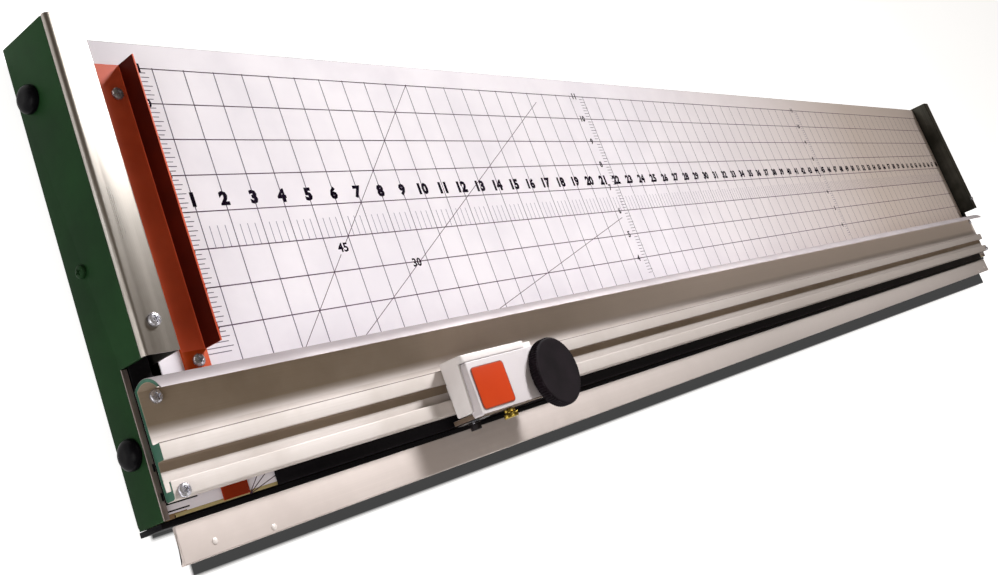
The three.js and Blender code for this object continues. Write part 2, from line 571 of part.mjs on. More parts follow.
function makeBladeBlock() {
  const { startAt, length, depth, frontWall, wallLength, holderLength, holderAbove, wallAbove } = block;
  const plan = roundedOutline([startAt, startAt + length], [0, depth], block.cornerRadius, block.noseRadius);
  const top = extrude('z', plan, blockUnder, block.above, sidesSmall / 2);
  const face = outline([
    [startAt, holderAbove], [startAt + holderLength, holderAbove], [startAt + holderLength, wallAbove],
    [startAt + wallLength, wallAbove], [startAt + wallLength, blockUnder + seatGap],
    [startAt, blockUnder + seatGap],
  ]);
  const bushOuter = pins.radius + seatGap + pinBush.wall;
  const bores = [
    ...pinPlaces.map(([x, y]) => rod('z', [x, y, blockUnder - cutOverrun], bushOuter + seatGap,
      pinBush.above + seatGap - blockUnder + cutOverrun)),
    rod('y', [bladeX, -cutOverrun, bladeZ], axle.radius + seatGap, frontWall + 2 * cutOverrun),
    rod('y', [thumb.at, -cutOverrun, thumb.above], thumb.shankRadius + seatGap,
      thumb.depth + cutOverrun + seatGap),
    rod('z', [knob.at, knob.fromCut, stud.footAbove - seatGap], stud.radius + seatGap, block.above),
  ];
  piece('blade_block', cut(joined(top, extrude('y', face, 0, frontWall)), ...bores), finishes.headPaint,
    headGroup);
  pinPlaces.forEach(([x, y], i) => {
    piece(`${nameOf(bothEnds[i])}_guide_bush`, tube('z', [x, y, blockUnder], pins.radius + seatGap, bushOuter,
      pinBush.above - blockUnder), finishes.brass, headGroup);
  });
}

function makeLabel() {
  const { startInset, length, depth, frontInset, sheet, cornerRadius } = label;
  const start = block.startAt + startInset;
  const plan = roundedOutline([start, start + length], [frontInset, frontInset + depth], cornerRadius);
  const bottom = block.above + seatGap;
  piece('label_plate', extrude('z', plan, bottom, bottom + sheet, sidesSmall / 2), finishes.labelFilm,
    headGroup);
}

// Return springs: a wire coil round each guide pin, between the carriage's pocket and the block's bush.
class Coil extends THREE.Curve {
  constructor(x, y, low, high) {
    super();
    Object.assign(this, { x, y, low, high });
  }
  getPoint(t, target = new THREE.Vector3()) {
    const turn = t * spring.turns * Math.PI * 2;
    return target.set(this.x + spring.coilRadius * Math.cos(turn), this.y + spring.coilRadius * Math.sin(turn),
      this.low + (this.high - this.low) * t);
  }
}

function makeSprings() {
  const wire = new THREE.Shape();
  wire.absarc(0, 0, spring.wire / 2, 0, Math.PI * 2, false);
  const low = spring.seatAbove + spring.wire / 2;
  const high = blockUnder - seatGap - spring.wire / 2;
  pinPlaces.forEach(([x, y], i) => {
    const geometry = new THREE.ExtrudeGeometry(wire, {
      extrudePath: new Coil(x, y, low, high), steps: spring.turns * spring.stepsPerTurn,
      curveSegments: spring.sides,
    });
    piece(`${nameOf(bothEnds[i])}_return_spring`, geometry, finishes.steel, headGroup);
  });
}

// Rotary blade in front of the wall, its washer, axle and nut.
function makeBlade() {
  const bore = axle.radius + blade.boreGap;
  const { radius, sheet, edgeBevel } = blade;
  piece('rotary_blade', turned('-y', [bladeX, bladeY, bladeZ], [
    [bore, 0], [radius - edgeBevel, 0], [radius, sheet / 2], [radius - edgeBevel, sheet], [bore, sheet],
    [bore, 0],
  ], sidesRound * 2), finishes.steel, headGroup);
  const washerY = bladeY - sheet - seatGap;
  piece('blade_washer', tube('-y', [bladeX, washerY, bladeZ], bore, washer.radius, washer.sheet),
    finishes.steel, headGroup);
  const nutY = washerY - washer.sheet - seatGap;
  piece('blade_axle', rod('-y', [bladeX, block.frontWall - axle.bite, bladeZ], axle.radius,
    block.frontWall - axle.bite + axle.past), finishes.steel, headGroup);
  const hexagon = rod('-y', [bladeX, nutY, bladeZ], axleNut.radius, axleNut.height, axleNut.flats);
  const nutBore = rod('-y', [bladeX, nutY + cutOverrun, bladeZ], bore, axleNut.height + 2 * cutOverrun);
  piece('axle_nut', cut(hexagon, nutBore), finishes.blackPaint, headGroup);
}

// A round outline with rounded ridges all the way round.
function ridgedOutline(x, y, radius, ridge, ridges) {
  const points = Array.from({ length: ridges * 2 }, (_, i) => {
    const r = i % 2 ? radius - ridge : radius;
    const turn = (i * Math.PI) / ridges;
    return [x + r * Math.cos(turn), y + r * Math.sin(turn)];
  });
  return outline(points);
}

function makeKnob() {
  const { radius, height, at, fromCut, lift, ridge, ridges, round } = knob;
  const bottom = block.above + lift;
  const studTop = bottom + stud.intoKnob;
  const insertOuter = stud.radius + seatGap + insert.wall;
  const ridged = extrude('z', ridgedOutline(at, fromCut, radius, ridge, ridges), bottom, bottom + height);
  const mould = turned('z', [at, fromCut, bottom], [
    [0, 0], [radius - round, 0], [radius, round], [radius, height - round], [radius - round, height],
    [0, height],
  ], ridges * 2);
  const body = toSolid(ridged).intersect(toSolid(mould));
  const bore = rod('z', [at, fromCut, bottom - cutOverrun], insertOuter + seatGap,
    insert.height + seatGap + cutOverrun);
  const studBore = rod('z', [at, fromCut, bottom - cutOverrun], stud.radius + seatGap,
    stud.intoKnob + seatGap + cutOverrun);
  piece('grip_knob', cut(body, bore, studBore), finishes.knobPlastic, headGroup);
  piece('knob_insert', tube('z', [at, fromCut, bottom], stud.radius + seatGap, insertOuter, insert.height),
    finishes.brass, headGroup);
  piece('knob_stud', rod('z', [at, fromCut, stud.footAbove], stud.radius, studTop - stud.footAbove),
    finishes.steel, headGroup);
}

function makeThumbScrew() {
  const { at, above, shankRadius, depth, collarRadius, collar, headRadius, head: headLength } = thumb;
  const start = -thumbKnurl.standOff;
  const shank = turned('-y', [at, start, above], [
    [0, -depth], [shankRadius, -depth], [shankRadius, 0], [collarRadius, 0],
    [collarRadius, collar + seatGap], [0, collar + seatGap],
  ], sidesSmall);
  const knurl = extrude('y', ridgedOutline(at, above, headRadius, thumbKnurl.ridge, thumbKnurl.ridges),
    start - collar - headLength, start - collar);
  piece('thumb_screw', joined(shank, knurl), finishes.brass, headGroup);
}

makeBoard();
makeCuttingEdge();
makeFrontChannel();
makeRearChannel();
makeApron();
bothEnds.forEach(makeEndPlate);
bothEnds.forEach(makeEndCap);
bothEnds.forEach(makeEdgeTrim);
bothEnds.forEach(makeEndFittings);
makeFeet();
makeGuide();
makeRail();
bothEnds.forEach(makeLiftArm);
makeCarriage();
makeBladeBlock();
makeLabel();
makeSprings();
makeBlade();
makeKnob();
makeThumbScrew();

export default group;
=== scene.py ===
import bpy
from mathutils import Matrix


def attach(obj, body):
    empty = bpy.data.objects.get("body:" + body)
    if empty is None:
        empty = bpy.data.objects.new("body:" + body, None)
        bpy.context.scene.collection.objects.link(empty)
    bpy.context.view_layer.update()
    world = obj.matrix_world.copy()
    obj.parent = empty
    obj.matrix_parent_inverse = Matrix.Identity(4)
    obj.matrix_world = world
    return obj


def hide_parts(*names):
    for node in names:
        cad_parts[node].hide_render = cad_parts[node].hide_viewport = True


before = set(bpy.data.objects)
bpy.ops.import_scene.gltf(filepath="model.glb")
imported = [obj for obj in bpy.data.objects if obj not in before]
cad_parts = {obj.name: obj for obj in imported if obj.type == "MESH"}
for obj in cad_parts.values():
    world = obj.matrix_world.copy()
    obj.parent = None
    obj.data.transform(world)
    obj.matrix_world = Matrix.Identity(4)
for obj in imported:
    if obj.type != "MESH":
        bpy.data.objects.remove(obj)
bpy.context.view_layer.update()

from types import SimpleNamespace
import bmesh
import bpy
import numpy as np
from mathutils import Matrix, Vector

print("frame loaded")

# Shapes are worked out in trimmer millimetres: x along the cut from the middle of the trimmer,
# y back from the cut line, z up from the top of the work board. Pieces that touch keep the gap between them.
trimmer = {"cutLine": -136.8, "boardTop": 27.6, "halfLength": 914.4, "rulerZero": -853.44,
           "headStart": -668.44, "rear": 299.3, "under": -23.6}
half = trimmer["halfLength"]
gap = 0.3
inch = 25.4


# A dictionary's values under their plain names.
def named(values):
    return SimpleNamespace(**values)


# A new object in the scene.
def place(name, data):
    thing = bpy.data.objects.new(name, data)
    bpy.context.scene.collection.objects.link(thing)
    return thing


# Trimmer millimetres become metres in the frame, whose zero is the footprint's middle on the ground.
def toRow(points):
    return (np.asarray(points, float) + [0, trimmer["cutLine"], trimmer["boardTop"]]) / 1000


# Camera of the photograph: its place, where it looks and which way is right for it.
view = {"place": (-1.302868, -0.168652, 0.569966), "ahead": (0.8105, 0.2189, -0.5433),
        "right": (0.5851, -0.3464, 0.7333), "lens": 41.28, "shift": (-0.0014, -0.1032)}


# The camera's axes are right, up and back, and up is square to the other two.
def makeCamera():
    ahead, right = Vector(view["ahead"]).normalized(), Vector(view["right"]).normalized()
    camera = place("photoCamera", bpy.data.cameras.new("photoCamera"))
    turn = Matrix((right, (-ahead).cross(right), -ahead)).transposed()
    camera.matrix_world = Matrix.Translation(view["place"]) @ turn.to_4x4()
    camera.data.lens, camera.data.sensor_width = view["lens"], 36
    camera.data.shift_x, camera.data.shift_y = view["shift"]
    camera.data.clip_start, camera.data.clip_end = 0.01, 100
    bpy.context.scene.camera = camera


# A shape is a dictionary: points, faces, how worn each point is (1 along a rounded edge) and a finish number
# per face.
def shapeOf(points, faces, worn=0.0, kinds=0):
    points = np.asarray(points, float).reshape(-1, 3)
    return {"points": points, "faces": faces, "worn": np.broadcast_to(worn, len(points)),
            "kinds": np.broadcast_to(kinds, len(faces))}


# All faces of a shape take one finish.
def finishedIn(shape, kind):
    return {**shape, "kinds": np.full(len(shape["faces"]), kind)}


# Quads between neighbours of a grid: its last column meets the first, and so does its last row where it
# wraps.
def gridFaces(rows, columns, wrapRows=False):
    r, c = np.meshgrid(np.arange(rows - (not wrapRows)), np.arange(columns), indexing="ij")
    r2, c2 = (r + 1) % rows, (c + 1) % columns
    quads = np.stack([r * columns + c, r * columns + c2, r2 * columns + c2, r2 * columns + c], -1)
    return quads.reshape(-1, 4).tolist()


# Triangles between the points of one row of such a grid and the point of a pole.
def fanFaces(pole, row, columns):
    edge = np.arange(columns)
    fan = [np.full(columns, pole), edge + row * columns, (edge + 1) % columns + row * columns]
    return np.stack(fan, -1).tolist()


# Vectors divided by their own length.
def unit(vectors):
    return vectors / np.maximum(np.linalg.norm(vectors, axis=-1, keepdims=True), 1e-12)


# Each corner of a closed outline becomes an arc that touches both its sides; a radius of 0 keeps it sharp.
def roundCorners(corners, radius, steps=4):
    p = np.asarray(corners, float)
    r = np.broadcast_to(np.asarray(radius, float), len(p))
    u, v = unit(np.roll(p, 1, 0) - p), unit(np.roll(p, -1, 0) - p)
    halfTurn = np.arccos(np.clip((u * v).sum(1), -1, 1)) / 2
    centre = p + unit(u + v) * (r / np.sin(halfTurn))[:, None]
    reach = (r / np.tan(halfTurn))[:, None]
    a0, a1 = [np.arctan2(*(p + side * reach - centre).T[::-1]) for side in (u, v)]
    share = np.linspace(0, 1, steps + 1)
    angle = a0[:, None] + ((a1 - a0 + np.pi) % (2 * np.pi) - np.pi)[:, None] * share
    arcs = centre[:, None] + r[:, None, None] * np.stack([np.cos(angle), np.sin(angle)], -1)
    arcs[r == 0] = p[r == 0][:, None]
    keep = np.ones(angle.shape, bool)
    keep[r == 0, 1:] = False
    worn = np.where((r == 0)[:, None], 0.6, np.sin(np.pi * share) * np.ones(angle.shape))
    return arcs[keep], worn[keep]


# Which way is inward at each point of a closed outline, long enough that both its sides move in by 1.
def inwardOf(profile):
    side = unit(np.roll(profile, -1, 0) - profile)
    area = np.sum(profile[:, 0] * np.roll(profile[:, 1], -1) - np.roll(profile[:, 0], -1) * profile[:, 1])
    normal = np.stack([-side[:, 1], side[:, 0]], -1) * np.sign(area)
    before = np.roll(normal, 1, 0)
    return (normal + before) / np.maximum(1 + (normal * before).sum(1), 0.2)[:, None]


order = {"x": (0, 1, 2), "y": (1, 0, 2), "z": (2, 0, 1)}


# The outline is carried straight along an axis, and shrinks by a quarter round at both its ends.
def carry(profile, worn, ends, axis, soften=0.4, steps=3, capKind=0, edgeKinds=0):
    turn = np.linspace(0, np.pi / 2, steps + 1) if soften else np.array([np.pi / 2])
    shrink, ahead = soften * (1 - np.sin(turn)), soften * (1 - np.cos(turn)) * (soften > 0)
    along = np.concatenate([ends[0] + ahead, (ends[1] - ahead)[::-1]])
    inset = np.concatenate([shrink, shrink[::-1]])
    rim = np.concatenate([np.sin(2 * turn), np.sin(2 * turn)[::-1]])
    rings = profile[None] + inwardOf(profile)[None] * inset[:, None, None]
    flat = np.stack([np.broadcast_to(along[:, None], rings.shape[:2]), rings[..., 0], rings[..., 1]], -1)
    points = np.empty_like(flat)
    points[..., order[axis]] = flat
    rows, columns = rings.shape[:2]
    faces = gridFaces(rows, columns)
    caps = [list(range(columns)), list(range((rows - 1) * columns, rows * columns))]
    kinds = np.concatenate([np.tile(np.broadcast_to(edgeKinds, columns), rows - 1), [capKind, capKind]])
    wear = np.maximum(worn[None], rim[:, None])
    wear[[0, -1]] = 0
    return shapeOf(points, faces + caps, wear.ravel(), kinds)


# A rectangle's corners, the way round that the other outlines go.
def rectangle(x0, x1, y0, y1):
    return [(x0, y0), (x1, y0), (x1, y1), (x0, y1)]


# A prism from sharp corners and the radius of each.
def prism(corners, radius, ends, axis, soften=0.4, steps=4):
    return carry(*roundCorners(corners, radius, steps), ends, axis, soften)


# A block between two values on each axis: a rectangle carried along one of them.
def box(x, y, z, soften=0.3, axis="x"):
    spans = {"x": x, "y": y, "z": z}
    a, b = [spans[k] for k in "xyz" if k != axis]
    return prism(rectangle(*a, *b), soften, spans[axis], axis, soften, 3)


# Directions in which a turned shape's own height can be laid.
laid = {"z": np.eye(3), "-z": np.diag([1, -1, -1]), "-y": np.array([[1, 0, 0], [0, 0, -1], [0, 1, 0]]),
        "x": np.array([[0, 0, 1], [0, 1, 0], [-1, 0, 0]]), "-x": np.array([[0, 0, -1], [0, 1, 0], [1, 0, 0]])}


# A turned shape's own height is laid along an axis, and its foot is moved to a place.
def lay(points, axis, at):
    return points @ laid[axis].T + np.asarray(at, float)


# Rings of [radius, height] about an axis; a ring of radius 0 is one point, and ridges pull the radius in
# between them.
def spin(profile, axis, at, sides=48, ridges=0, depth=0.0, loop=False, worn=0.0):
    rings = np.asarray(profile, float)
    poles = [not loop and rings[0, 0] == 0, not loop and rings[-1, 0] == 0]
    body = rings[int(poles[0]):len(rings) - int(poles[1])]
    angle = np.linspace(0, 2 * np.pi, sides, endpoint=False)
    pull = np.broadcast_to(depth, len(rings))[int(poles[0]):len(rings) - int(poles[1])]
    radius = body[:, :1] - pull[:, None] * (0.5 - 0.5 * np.cos(ridges * angle))
    height = np.broadcast_to(body[:, 1:], radius.shape)
    grid = np.stack([radius * np.cos(angle), radius * np.sin(angle), height], -1)
    points, count = grid.reshape(-1, 3), len(body) * sides
    faces = gridFaces(len(body), sides, wrapRows=loop)
    for pole, ring, row in ((poles[0], rings[0], 0), (poles[1], rings[-1], len(body) - 1)):
        if pole:
            faces += fanFaces(len(points), row, sides)
            points = np.concatenate([points, [[0, 0, ring[1]]]])
    wear = np.concatenate([np.repeat(np.broadcast_to(worn, len(body)), sides), np.zeros(len(points) - count)])
    return shapeOf(lay(points, axis, at), faces, wear)


# A rounded [radius, height] profile for spin, from the corners of a half section that ends on the axis.
def roundSection(corners, radius, steps=4):
    corners = np.asarray(corners, float)
    closed = np.concatenate([corners, [[-5, corners[-1, 1]], [-5, corners[0, 1]]]])
    r = np.concatenate([np.broadcast_to(radius, len(corners)), [0, 0]]).astype(float)
    r[[0, len(corners) - 1]] = 0
    rounded = roundCorners(closed, r, steps)[0]
    return rounded[rounded[:, 0] >= 0]


# Closed boxes between two lists of corners, all at once; turned about a point by an angle where one is given.
def bars(low, high, turn=0.0, about=(0, 0)):
    low, high = np.atleast_2d(low).astype(float), np.atleast_2d(high).astype(float)
    corner = np.array([[0, 0, 0], [1, 0, 0], [1, 1, 0], [0, 1, 0], [0, 0, 1], [1, 0, 1], [1, 1, 1],
                       [0, 1, 1]])
    sides = np.array([[0, 3, 2, 1], [4, 5, 6, 7], [0, 1, 5, 4], [1, 2, 6, 5], [2, 3, 7, 6], [3, 0, 4, 7]])
    points = (low[:, None] + corner * (high - low)[:, None]).reshape(-1, 3)
    faces = (sides[None] + 8 * np.arange(len(low))[:, None, None]).reshape(-1, 4).tolist()
    rotation = np.array([[np.cos(turn), -np.sin(turn)], [np.sin(turn), np.cos(turn)]])
    points[:, :2] = points[:, :2] @ rotation.T + about
    return shapeOf(points, faces)


# The shapes become one object in the frame, smooth except where its faces meet at more than the given angle.
# Unless others are given, it stands for the CAD solid that has its name, written with _ for a capital.
def addPiece(name, shapes, finishes, body, stands=None, sharpAbove=38):
    counts = np.cumsum([0] + [len(s["points"]) for s in shapes])
    faces = [[i + start for i in face] for s, start in zip(shapes, counts) for face in s["faces"]]
    mesh = bpy.data.meshes.new(name)
    mesh.from_pydata(toRow(np.concatenate([s["points"] for s in shapes])).tolist(), [], faces)
    worn = mesh.attributes.new("worn", "FLOAT", "POINT")
    worn.data.foreach_set("value", np.concatenate([s["worn"] for s in shapes]).astype(np.float32))
    mesh.polygons.foreach_set("material_index", np.concatenate([s["kinds"] for s in shapes]).astype(np.int32))
    outward = bmesh.new()
    outward.from_mesh(mesh)
    bmesh.ops.recalc_face_normals(outward, faces=outward.faces)
    outward.to_mesh(mesh)
    outward.free()
    mesh.shade_smooth()
    mesh.set_sharp_from_angle(angle=np.radians(sharpAbove))
    piece = place(name, mesh)
    for finish in finishes:
        mesh.materials.append(materials[finish])
    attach(piece, body)
    if stands is None:
        own = "".join("_" + c.lower() if c.isupper() else c for c in name)
        stands = [own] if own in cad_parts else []
    if stands:
        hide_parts(*stands)


# Materials. Colours are written as they look, 0 to 255.
def linear(colour):
    c = np.array(colour) / 255
    return (*np.where(c <= 0.04045, c / 12.92, ((c + 0.055) / 1.055) ** 2.4), 1)


# A socket takes a link from another node, or else a plain value.
def feed(tree, socket, value):
    if isinstance(value, bpy.types.NodeSocket):
        tree.links.new(value, socket)
    else:
        socket.default_value = value


# A shader node with its settings; an input is named with _ for a space, or by _ and its number.
def addNode(tree, kind, settings=None, **inputs):
    node = tree.nodes.new("ShaderNode" + kind)
    for key, value in (settings or {}).items():
        setattr(node, key, value)
    for key, value in inputs.items():
        socket = node.inputs[int(key[1:]) if key[0] == "_" and key[1:].isdigit() else key.replace("_", " ")]
        feed(tree, socket, value)
    return node


# One sum on two or three values.
def calc(tree, operation, a, b=0.0, c=0.0):
    return addNode(tree, "Math", {"operation": operation}, _0=a, _1=b, _2=c).outputs[0]


# Two values multiplied.
def times(tree, a, b):
    return calc(tree, "MULTIPLY", a, b)


# Where a point of the surface lies in the frame.
def spotOf(tree):
    return addNode(tree, "TexCoord").outputs["Object"]


# 0 below the low value, 1 above the high one, and straight between them.
def ramp(tree, value, low, high):
    return addNode(tree, "MapRange", {"clamp": True}, Value=value, From_Min=low, From_Max=high).outputs[0]


# Colour a where the share is 0 and b where it is 1.
def mixColour(tree, share, a, b):
    node = addNode(tree, "Mix", {"data_type": "RGBA"}, _0=share)
    feed(tree, node.inputs[6], a)
    feed(tree, node.inputs[7], b)
    return node.outputs[2]


# Cloudy noise from 0 to 1.
def noise(tree, vector, scale, detail, roughness=0.55):
    inputs = {"Vector": vector, "Scale": scale, "Detail": detail, "Roughness": roughness}
    return addNode(tree, "TexNoise", None, **inputs).outputs[0]


# A node group whose inside is built by a function.
def newGroup(name, inputs, outputs, build):
    tree = bpy.data.node_groups.new(name, "ShaderNodeTree")
    for key, value in inputs.items():
        kind = "NodeSocketVector" if isinstance(value, tuple) else "NodeSocketFloat"
        tree.interface.new_socket(name=key, in_out="INPUT", socket_type=kind).default_value = value
    for key in outputs:
        tree.interface.new_socket(name=key, in_out="OUTPUT", socket_type="NodeSocketFloat")
    start, end = tree.nodes.new("NodeGroupInput"), tree.nodes.new("NodeGroupOutput")
    for key, value in build(tree, start.outputs).items():
        tree.links.new(value, end.inputs[key])
    return tree


# Fine lines drawn one way over a surface: noise stretched by thousands to one.
def buildDrawn(tree, given):
    spot = spotOf(tree)
    fine = addNode(tree, "VectorMath", {"operation": "MULTIPLY"}, _0=spot, _1=given["Stretch"]).outputs[0]
    wide = addNode(tree, "VectorMath", {"operation": "SCALE"}, _0=fine, Scale=0.11).outputs[0]
    return {"Lines": noise(tree, fine, 1.0, 4.0, 0.7), "Bands": noise(tree, wide, 1.0, 2.0)}


# Sprayed paint: wide clouds of tone and a fine skin like orange peel.
def buildSkin(tree, given):
    spot = spotOf(tree)
    return {"Clouds": noise(tree, spot, given["Cloud Scale"], 4.0, 0.6),
            "Skin": noise(tree, spot, given["Skin Scale"], 2.0, 0.5)}


# Wear where an edge is rubbed: the edge mask, broken up by noise.
def buildRub(tree, given):
    spot = spotOf(tree)
    broken = noise(tree, spot, 160.0, 6.0, 0.7)
    fine = noise(tree, spot, 1500.0, 2.0, 0.5)
    edge = times(tree, given["Worn"], calc(tree, "ADD", broken, times(tree, fine, 0.35)))
    return {"Rubbed": times(tree, ramp(tree, edge, 0.5, 0.8), given["Amount"])}


# Small scattered flecks, each cell of the pattern holding one of its own size.
def buildFlecks(tree, given):
    spot = spotOf(tree)
    cells = addNode(tree, "TexVoronoi", None, Vector=spot, Scale=given["Scale"])
    size = addNode(tree, "SeparateColor", None, Color=cells.outputs["Color"]).outputs[0]
    reach = times(tree, ramp(tree, size, 0.55, 1.0), 0.3)
    return {"Flecks": ramp(tree, calc(tree, "SUBTRACT", reach, cells.outputs["Distance"]), 0.0, 0.06)}


# Dust that has settled on what faces up, uneven over the surface.
def buildDust(tree, given):
    spot = spotOf(tree)
    normal = addNode(tree, "NewGeometry").outputs["Normal"]
    up = addNode(tree, "SeparateXYZ", None, Vector=normal).outputs[2]
    patchy = times(tree, noise(tree, spot, 9.0, 5.0, 0.65), noise(tree, spot, 700.0, 2.0, 0.6))
    return {"Dust": times(tree, times(tree, ramp(tree, up, 0.3, 1.0), patchy), given["Amount"])}


effects = {
    "drawn": newGroup("drawnLines", {"Stretch": (3.0, 900.0, 900.0)}, ["Lines", "Bands"], buildDrawn),
    "skin": newGroup("paintSkin", {"Cloud Scale": 12.0, "Skin Scale": 700.0}, ["Clouds", "Skin"], buildSkin),
    "rub": newGroup("edgeRub", {"Worn": 0.0, "Amount": 1.0}, ["Rubbed"], buildRub),
    "flecks": newGroup("fineFlecks", {"Scale": 400.0}, ["Flecks"], buildFlecks),
    "dust": newGroup("settledDust", {"Amount": 0.2}, ["Dust"], buildDust),
}


# One of these groups inside a finish, with its inputs set.
def useEffect(tree, effect, **inputs):
    node = tree.nodes.new("ShaderNodeGroup")
    node.node_tree = effects[effect]
    for key, value in inputs.items():
        feed(tree, node.inputs[key.replace("_", " ")], value)
    return node.outputs


# What each finish is: its colour and second tone, its roughness, and how much of each effect it has. far is a
# second colour with the places along x where it starts and is full, which paints the change of light toward
# the
# right end: painted shade that darkens most finishes there, and lighter shade on the rail's shaded floor.
# fade gives the plain metal's colours and where, along y, they turn into this finish, the soft edge of a
# painted shadow.
def look(colour, tone, roughness, **more):
    return {"colour": colour, "tone": tone, "roughness": roughness, **more}


# What several finishes share: fine lines along the rail or across a cap, the head's paint, and flat ink.
alongRail = {"stretch": (2.5, 1000, 1000), "lines": 0.5, "lineBump": 0.1}
acrossCap = {"metallic": 1.0, "stretch": (1500, 5, 1500), "lines": 0.6, "lineBump": 0.1}
headSkin = {"skin": 0.1, "skinScale": 1100}
inkSkin = {"specular": 0.0, "skin": 0.02}
finishes = {
    # The board's far colour is painted shade: the laminate darkens toward the right end, where less light
    # falls.
    "laminate": look((249, 243, 250), (241, 235, 243), 0.45, far=((200, 186, 178), -0.25, 0.5),
                     specular=0.08, skin=0.015, skinScale=500, dust=0.06),
    "chipboard": look((176, 146, 108), (140, 110, 76), 0.85, skin=0.5, skinScale=900, flecks=(104, 78, 50),
                      fleckScale=420),
    "underSheet": look((120, 92, 66), (98, 74, 54), 0.6, skin=0.1),
    "ink": look((92, 80, 98), (108, 97, 114), 0.5, **inkSkin),
    "rowInk": look((78, 54, 72), (94, 70, 88), 0.5, **inkSkin),
    "numberInk": look((20, 12, 26), (30, 20, 36), 0.5, **inkSkin),
    "paleInk": look((122, 112, 134), (142, 132, 154), 0.5, **inkSkin),
    "edgeBrass": look((222, 206, 152), (190, 172, 120), 0.4, metallic=0.35, stretch=(4, 1100, 1100),
                      lines=0.35, lineBump=0.05),
    "blackPaint": look((9, 8, 12), (15, 14, 18), 0.42, specular=0.04, skin=0.12, rub=(70, 66, 66),
                       rubAmount=0.25, dust=0.04),
    "blackPlastic": look((10, 8, 13), (16, 14, 19), 0.5, specular=0.05, skin=0.1, rub=(60, 56, 58),
                         rubAmount=0.2, dust=0.03),
    # A painted dark line of shade along the middle bar's rear top edge.
    "railShadeLine": look((138, 128, 124), (124, 114, 110), 0.6, specular=0.1),
    # Painted shade on the middle bar's front face and on the floor in the bar's shadow, in front of it.
    "railShade": look((158, 141, 124), (140, 124, 108), 0.6, specular=0.03, **alongRail),
    # A darker copy of the rail's aluminium: painted shade on the hook's outer side.
    "railOuterShade": look((176, 168, 171), (160, 152, 155), 0.5, metallic=0.25, specular=0.15, **alongRail),
    # Painted shade on the hook's inner wall and on the floor in the wall's shadow, with a soft painted edge
    # along y and lighter shade toward the right end.
    "railInnerShade": look((174, 158, 140), (156, 140, 122), 0.5, far=((214, 202, 193), -0.8, -0.2),
                      fade=((232, 224, 221), (164, 155, 150), -0.0908, -0.0848), metallic=0.2, specular=0.1,
                      **alongRail),
    # Its far colour is painted shade: the rail's aluminium darkens toward the right end.
    "drawnAluminium": look((232, 224, 221), (212, 203, 198), 0.52, far=((164, 155, 150), -0.8, 0.0),
                           metallic=0.2, specular=0.2, stretch=(2.5, 1000, 1000), lines=0.5, lineBump=0.12),
    # Its far colour is painted shade: the apron darkens toward the right end.
    "apronAluminium": look((222, 210, 205), (206, 194, 189), 0.5, far=((174, 165, 161), -0.75, -0.1),
                           metallic=0.2, stretch=(2.0, 700, 700), lines=0.5, lineBump=0.08, dust=0.04),
    "railEnd": look((58, 108, 88), (44, 84, 68), 0.5, skin=0.2, flecks=(150, 180, 160), fleckScale=900),
    "stainless": look((190, 185, 179), (150, 143, 136), 0.3, **acrossCap),
    "shadedStainless": look((76, 74, 68), (44, 43, 38), 0.4, **acrossCap),
    "trimSteel": look((166, 153, 152), (128, 116, 110), 0.34, metallic=0.7, stretch=(1400, 6, 1400),
                      lines=0.4, lineBump=0.05),
    "greenPaint": look((24, 51, 26), (31, 62, 33), 0.5, specular=0.06, skin=0.28, flecks=(84, 110, 88),
                       fleckScale=520, fleckShare=0.2, rub=(112, 122, 112), rubAmount=0.5, dust=0.03),
    "redPaint": look((208, 82, 26), (190, 68, 20), 0.38, specular=0.12, skin=0.18, rub=(214, 70, 46),
                     rubAmount=0.8),
    # Painted shadow of the rail on the flange's front part.
    "redUnderRailShade": look((150, 50, 20), (134, 42, 16), 0.4, specular=0.05, skin=0.18),
    # A painted highlight: lighter red on the wall's top edge and on the flange at its foot.
    "redHighlight": look((232, 96, 60), (214, 84, 50), 0.4, specular=0.2),
    "redShade": look((88, 22, 10), (72, 17, 8), 0.4, specular=0.04, skin=0.18, rub=(226, 86, 46),
                     rubAmount=0.9),
    "headPaint": look((220, 213, 216), (206, 199, 202), 0.4, rub=(238, 234, 238), rubAmount=0.6, dust=0.05,
                      **headSkin),
    "carriagePaint": look((248, 243, 243), (238, 232, 232), 0.4, specular=0.3, rub=(255, 252, 252),
                          rubAmount=0.5, **headSkin),
    # A darker brown: painted shade on the block's faces that look forward.
    "frontShadePaint": look((122, 105, 91), (104, 89, 76), 0.5, specular=0.06, rub=(222, 214, 214), rubAmount=0.7,
                      **headSkin),
    "labelFilm": look((196, 66, 26), (188, 60, 22), 0.3, specular=0.15, skin=0.03),
    "labelEdge": look((150, 60, 34), (128, 50, 30), 0.4, skin=0.03),
    "knobPlastic": look((18, 13, 17), (27, 20, 25), 0.62, specular=0.06, skin=0.35, skinScale=1400,
                        cloudScale=60, rub=(84, 78, 86), rubAmount=0.35),
    "rubber": look((9, 8, 11), (14, 13, 17), 0.36, specular=0.06, skin=0.15, skinScale=1200),
    "brass": look((186, 164, 80), (146, 122, 54), 0.24, metallic=1.0, stretch=(900, 900, 60), lines=0.35,
                  lineBump=0.05),
    "steel": look((216, 216, 224), (176, 174, 182), 0.26, metallic=0.75, skin=0.06, skinScale=1500,
                  cloudScale=300),
    "bladeSteel": look((206, 207, 212), (170, 172, 178), 0.2, metallic=1.0, stretch=(1200, 12, 1200),
                       lines=0.3, lineBump=0.04),
    "blackOxide": look((20, 16, 18), (32, 27, 28), 0.4, metallic=0.2, specular=0.1, skin=0.15,
                       cloudScale=250, rub=(90, 84, 84), rubAmount=0.4),
    "rivetSteel": look((236, 228, 224), (218, 209, 205), 0.42, metallic=0.2, skin=0.05),
    "nylon": look((228, 224, 210), (214, 208, 190), 0.5, skin=0.1),
}
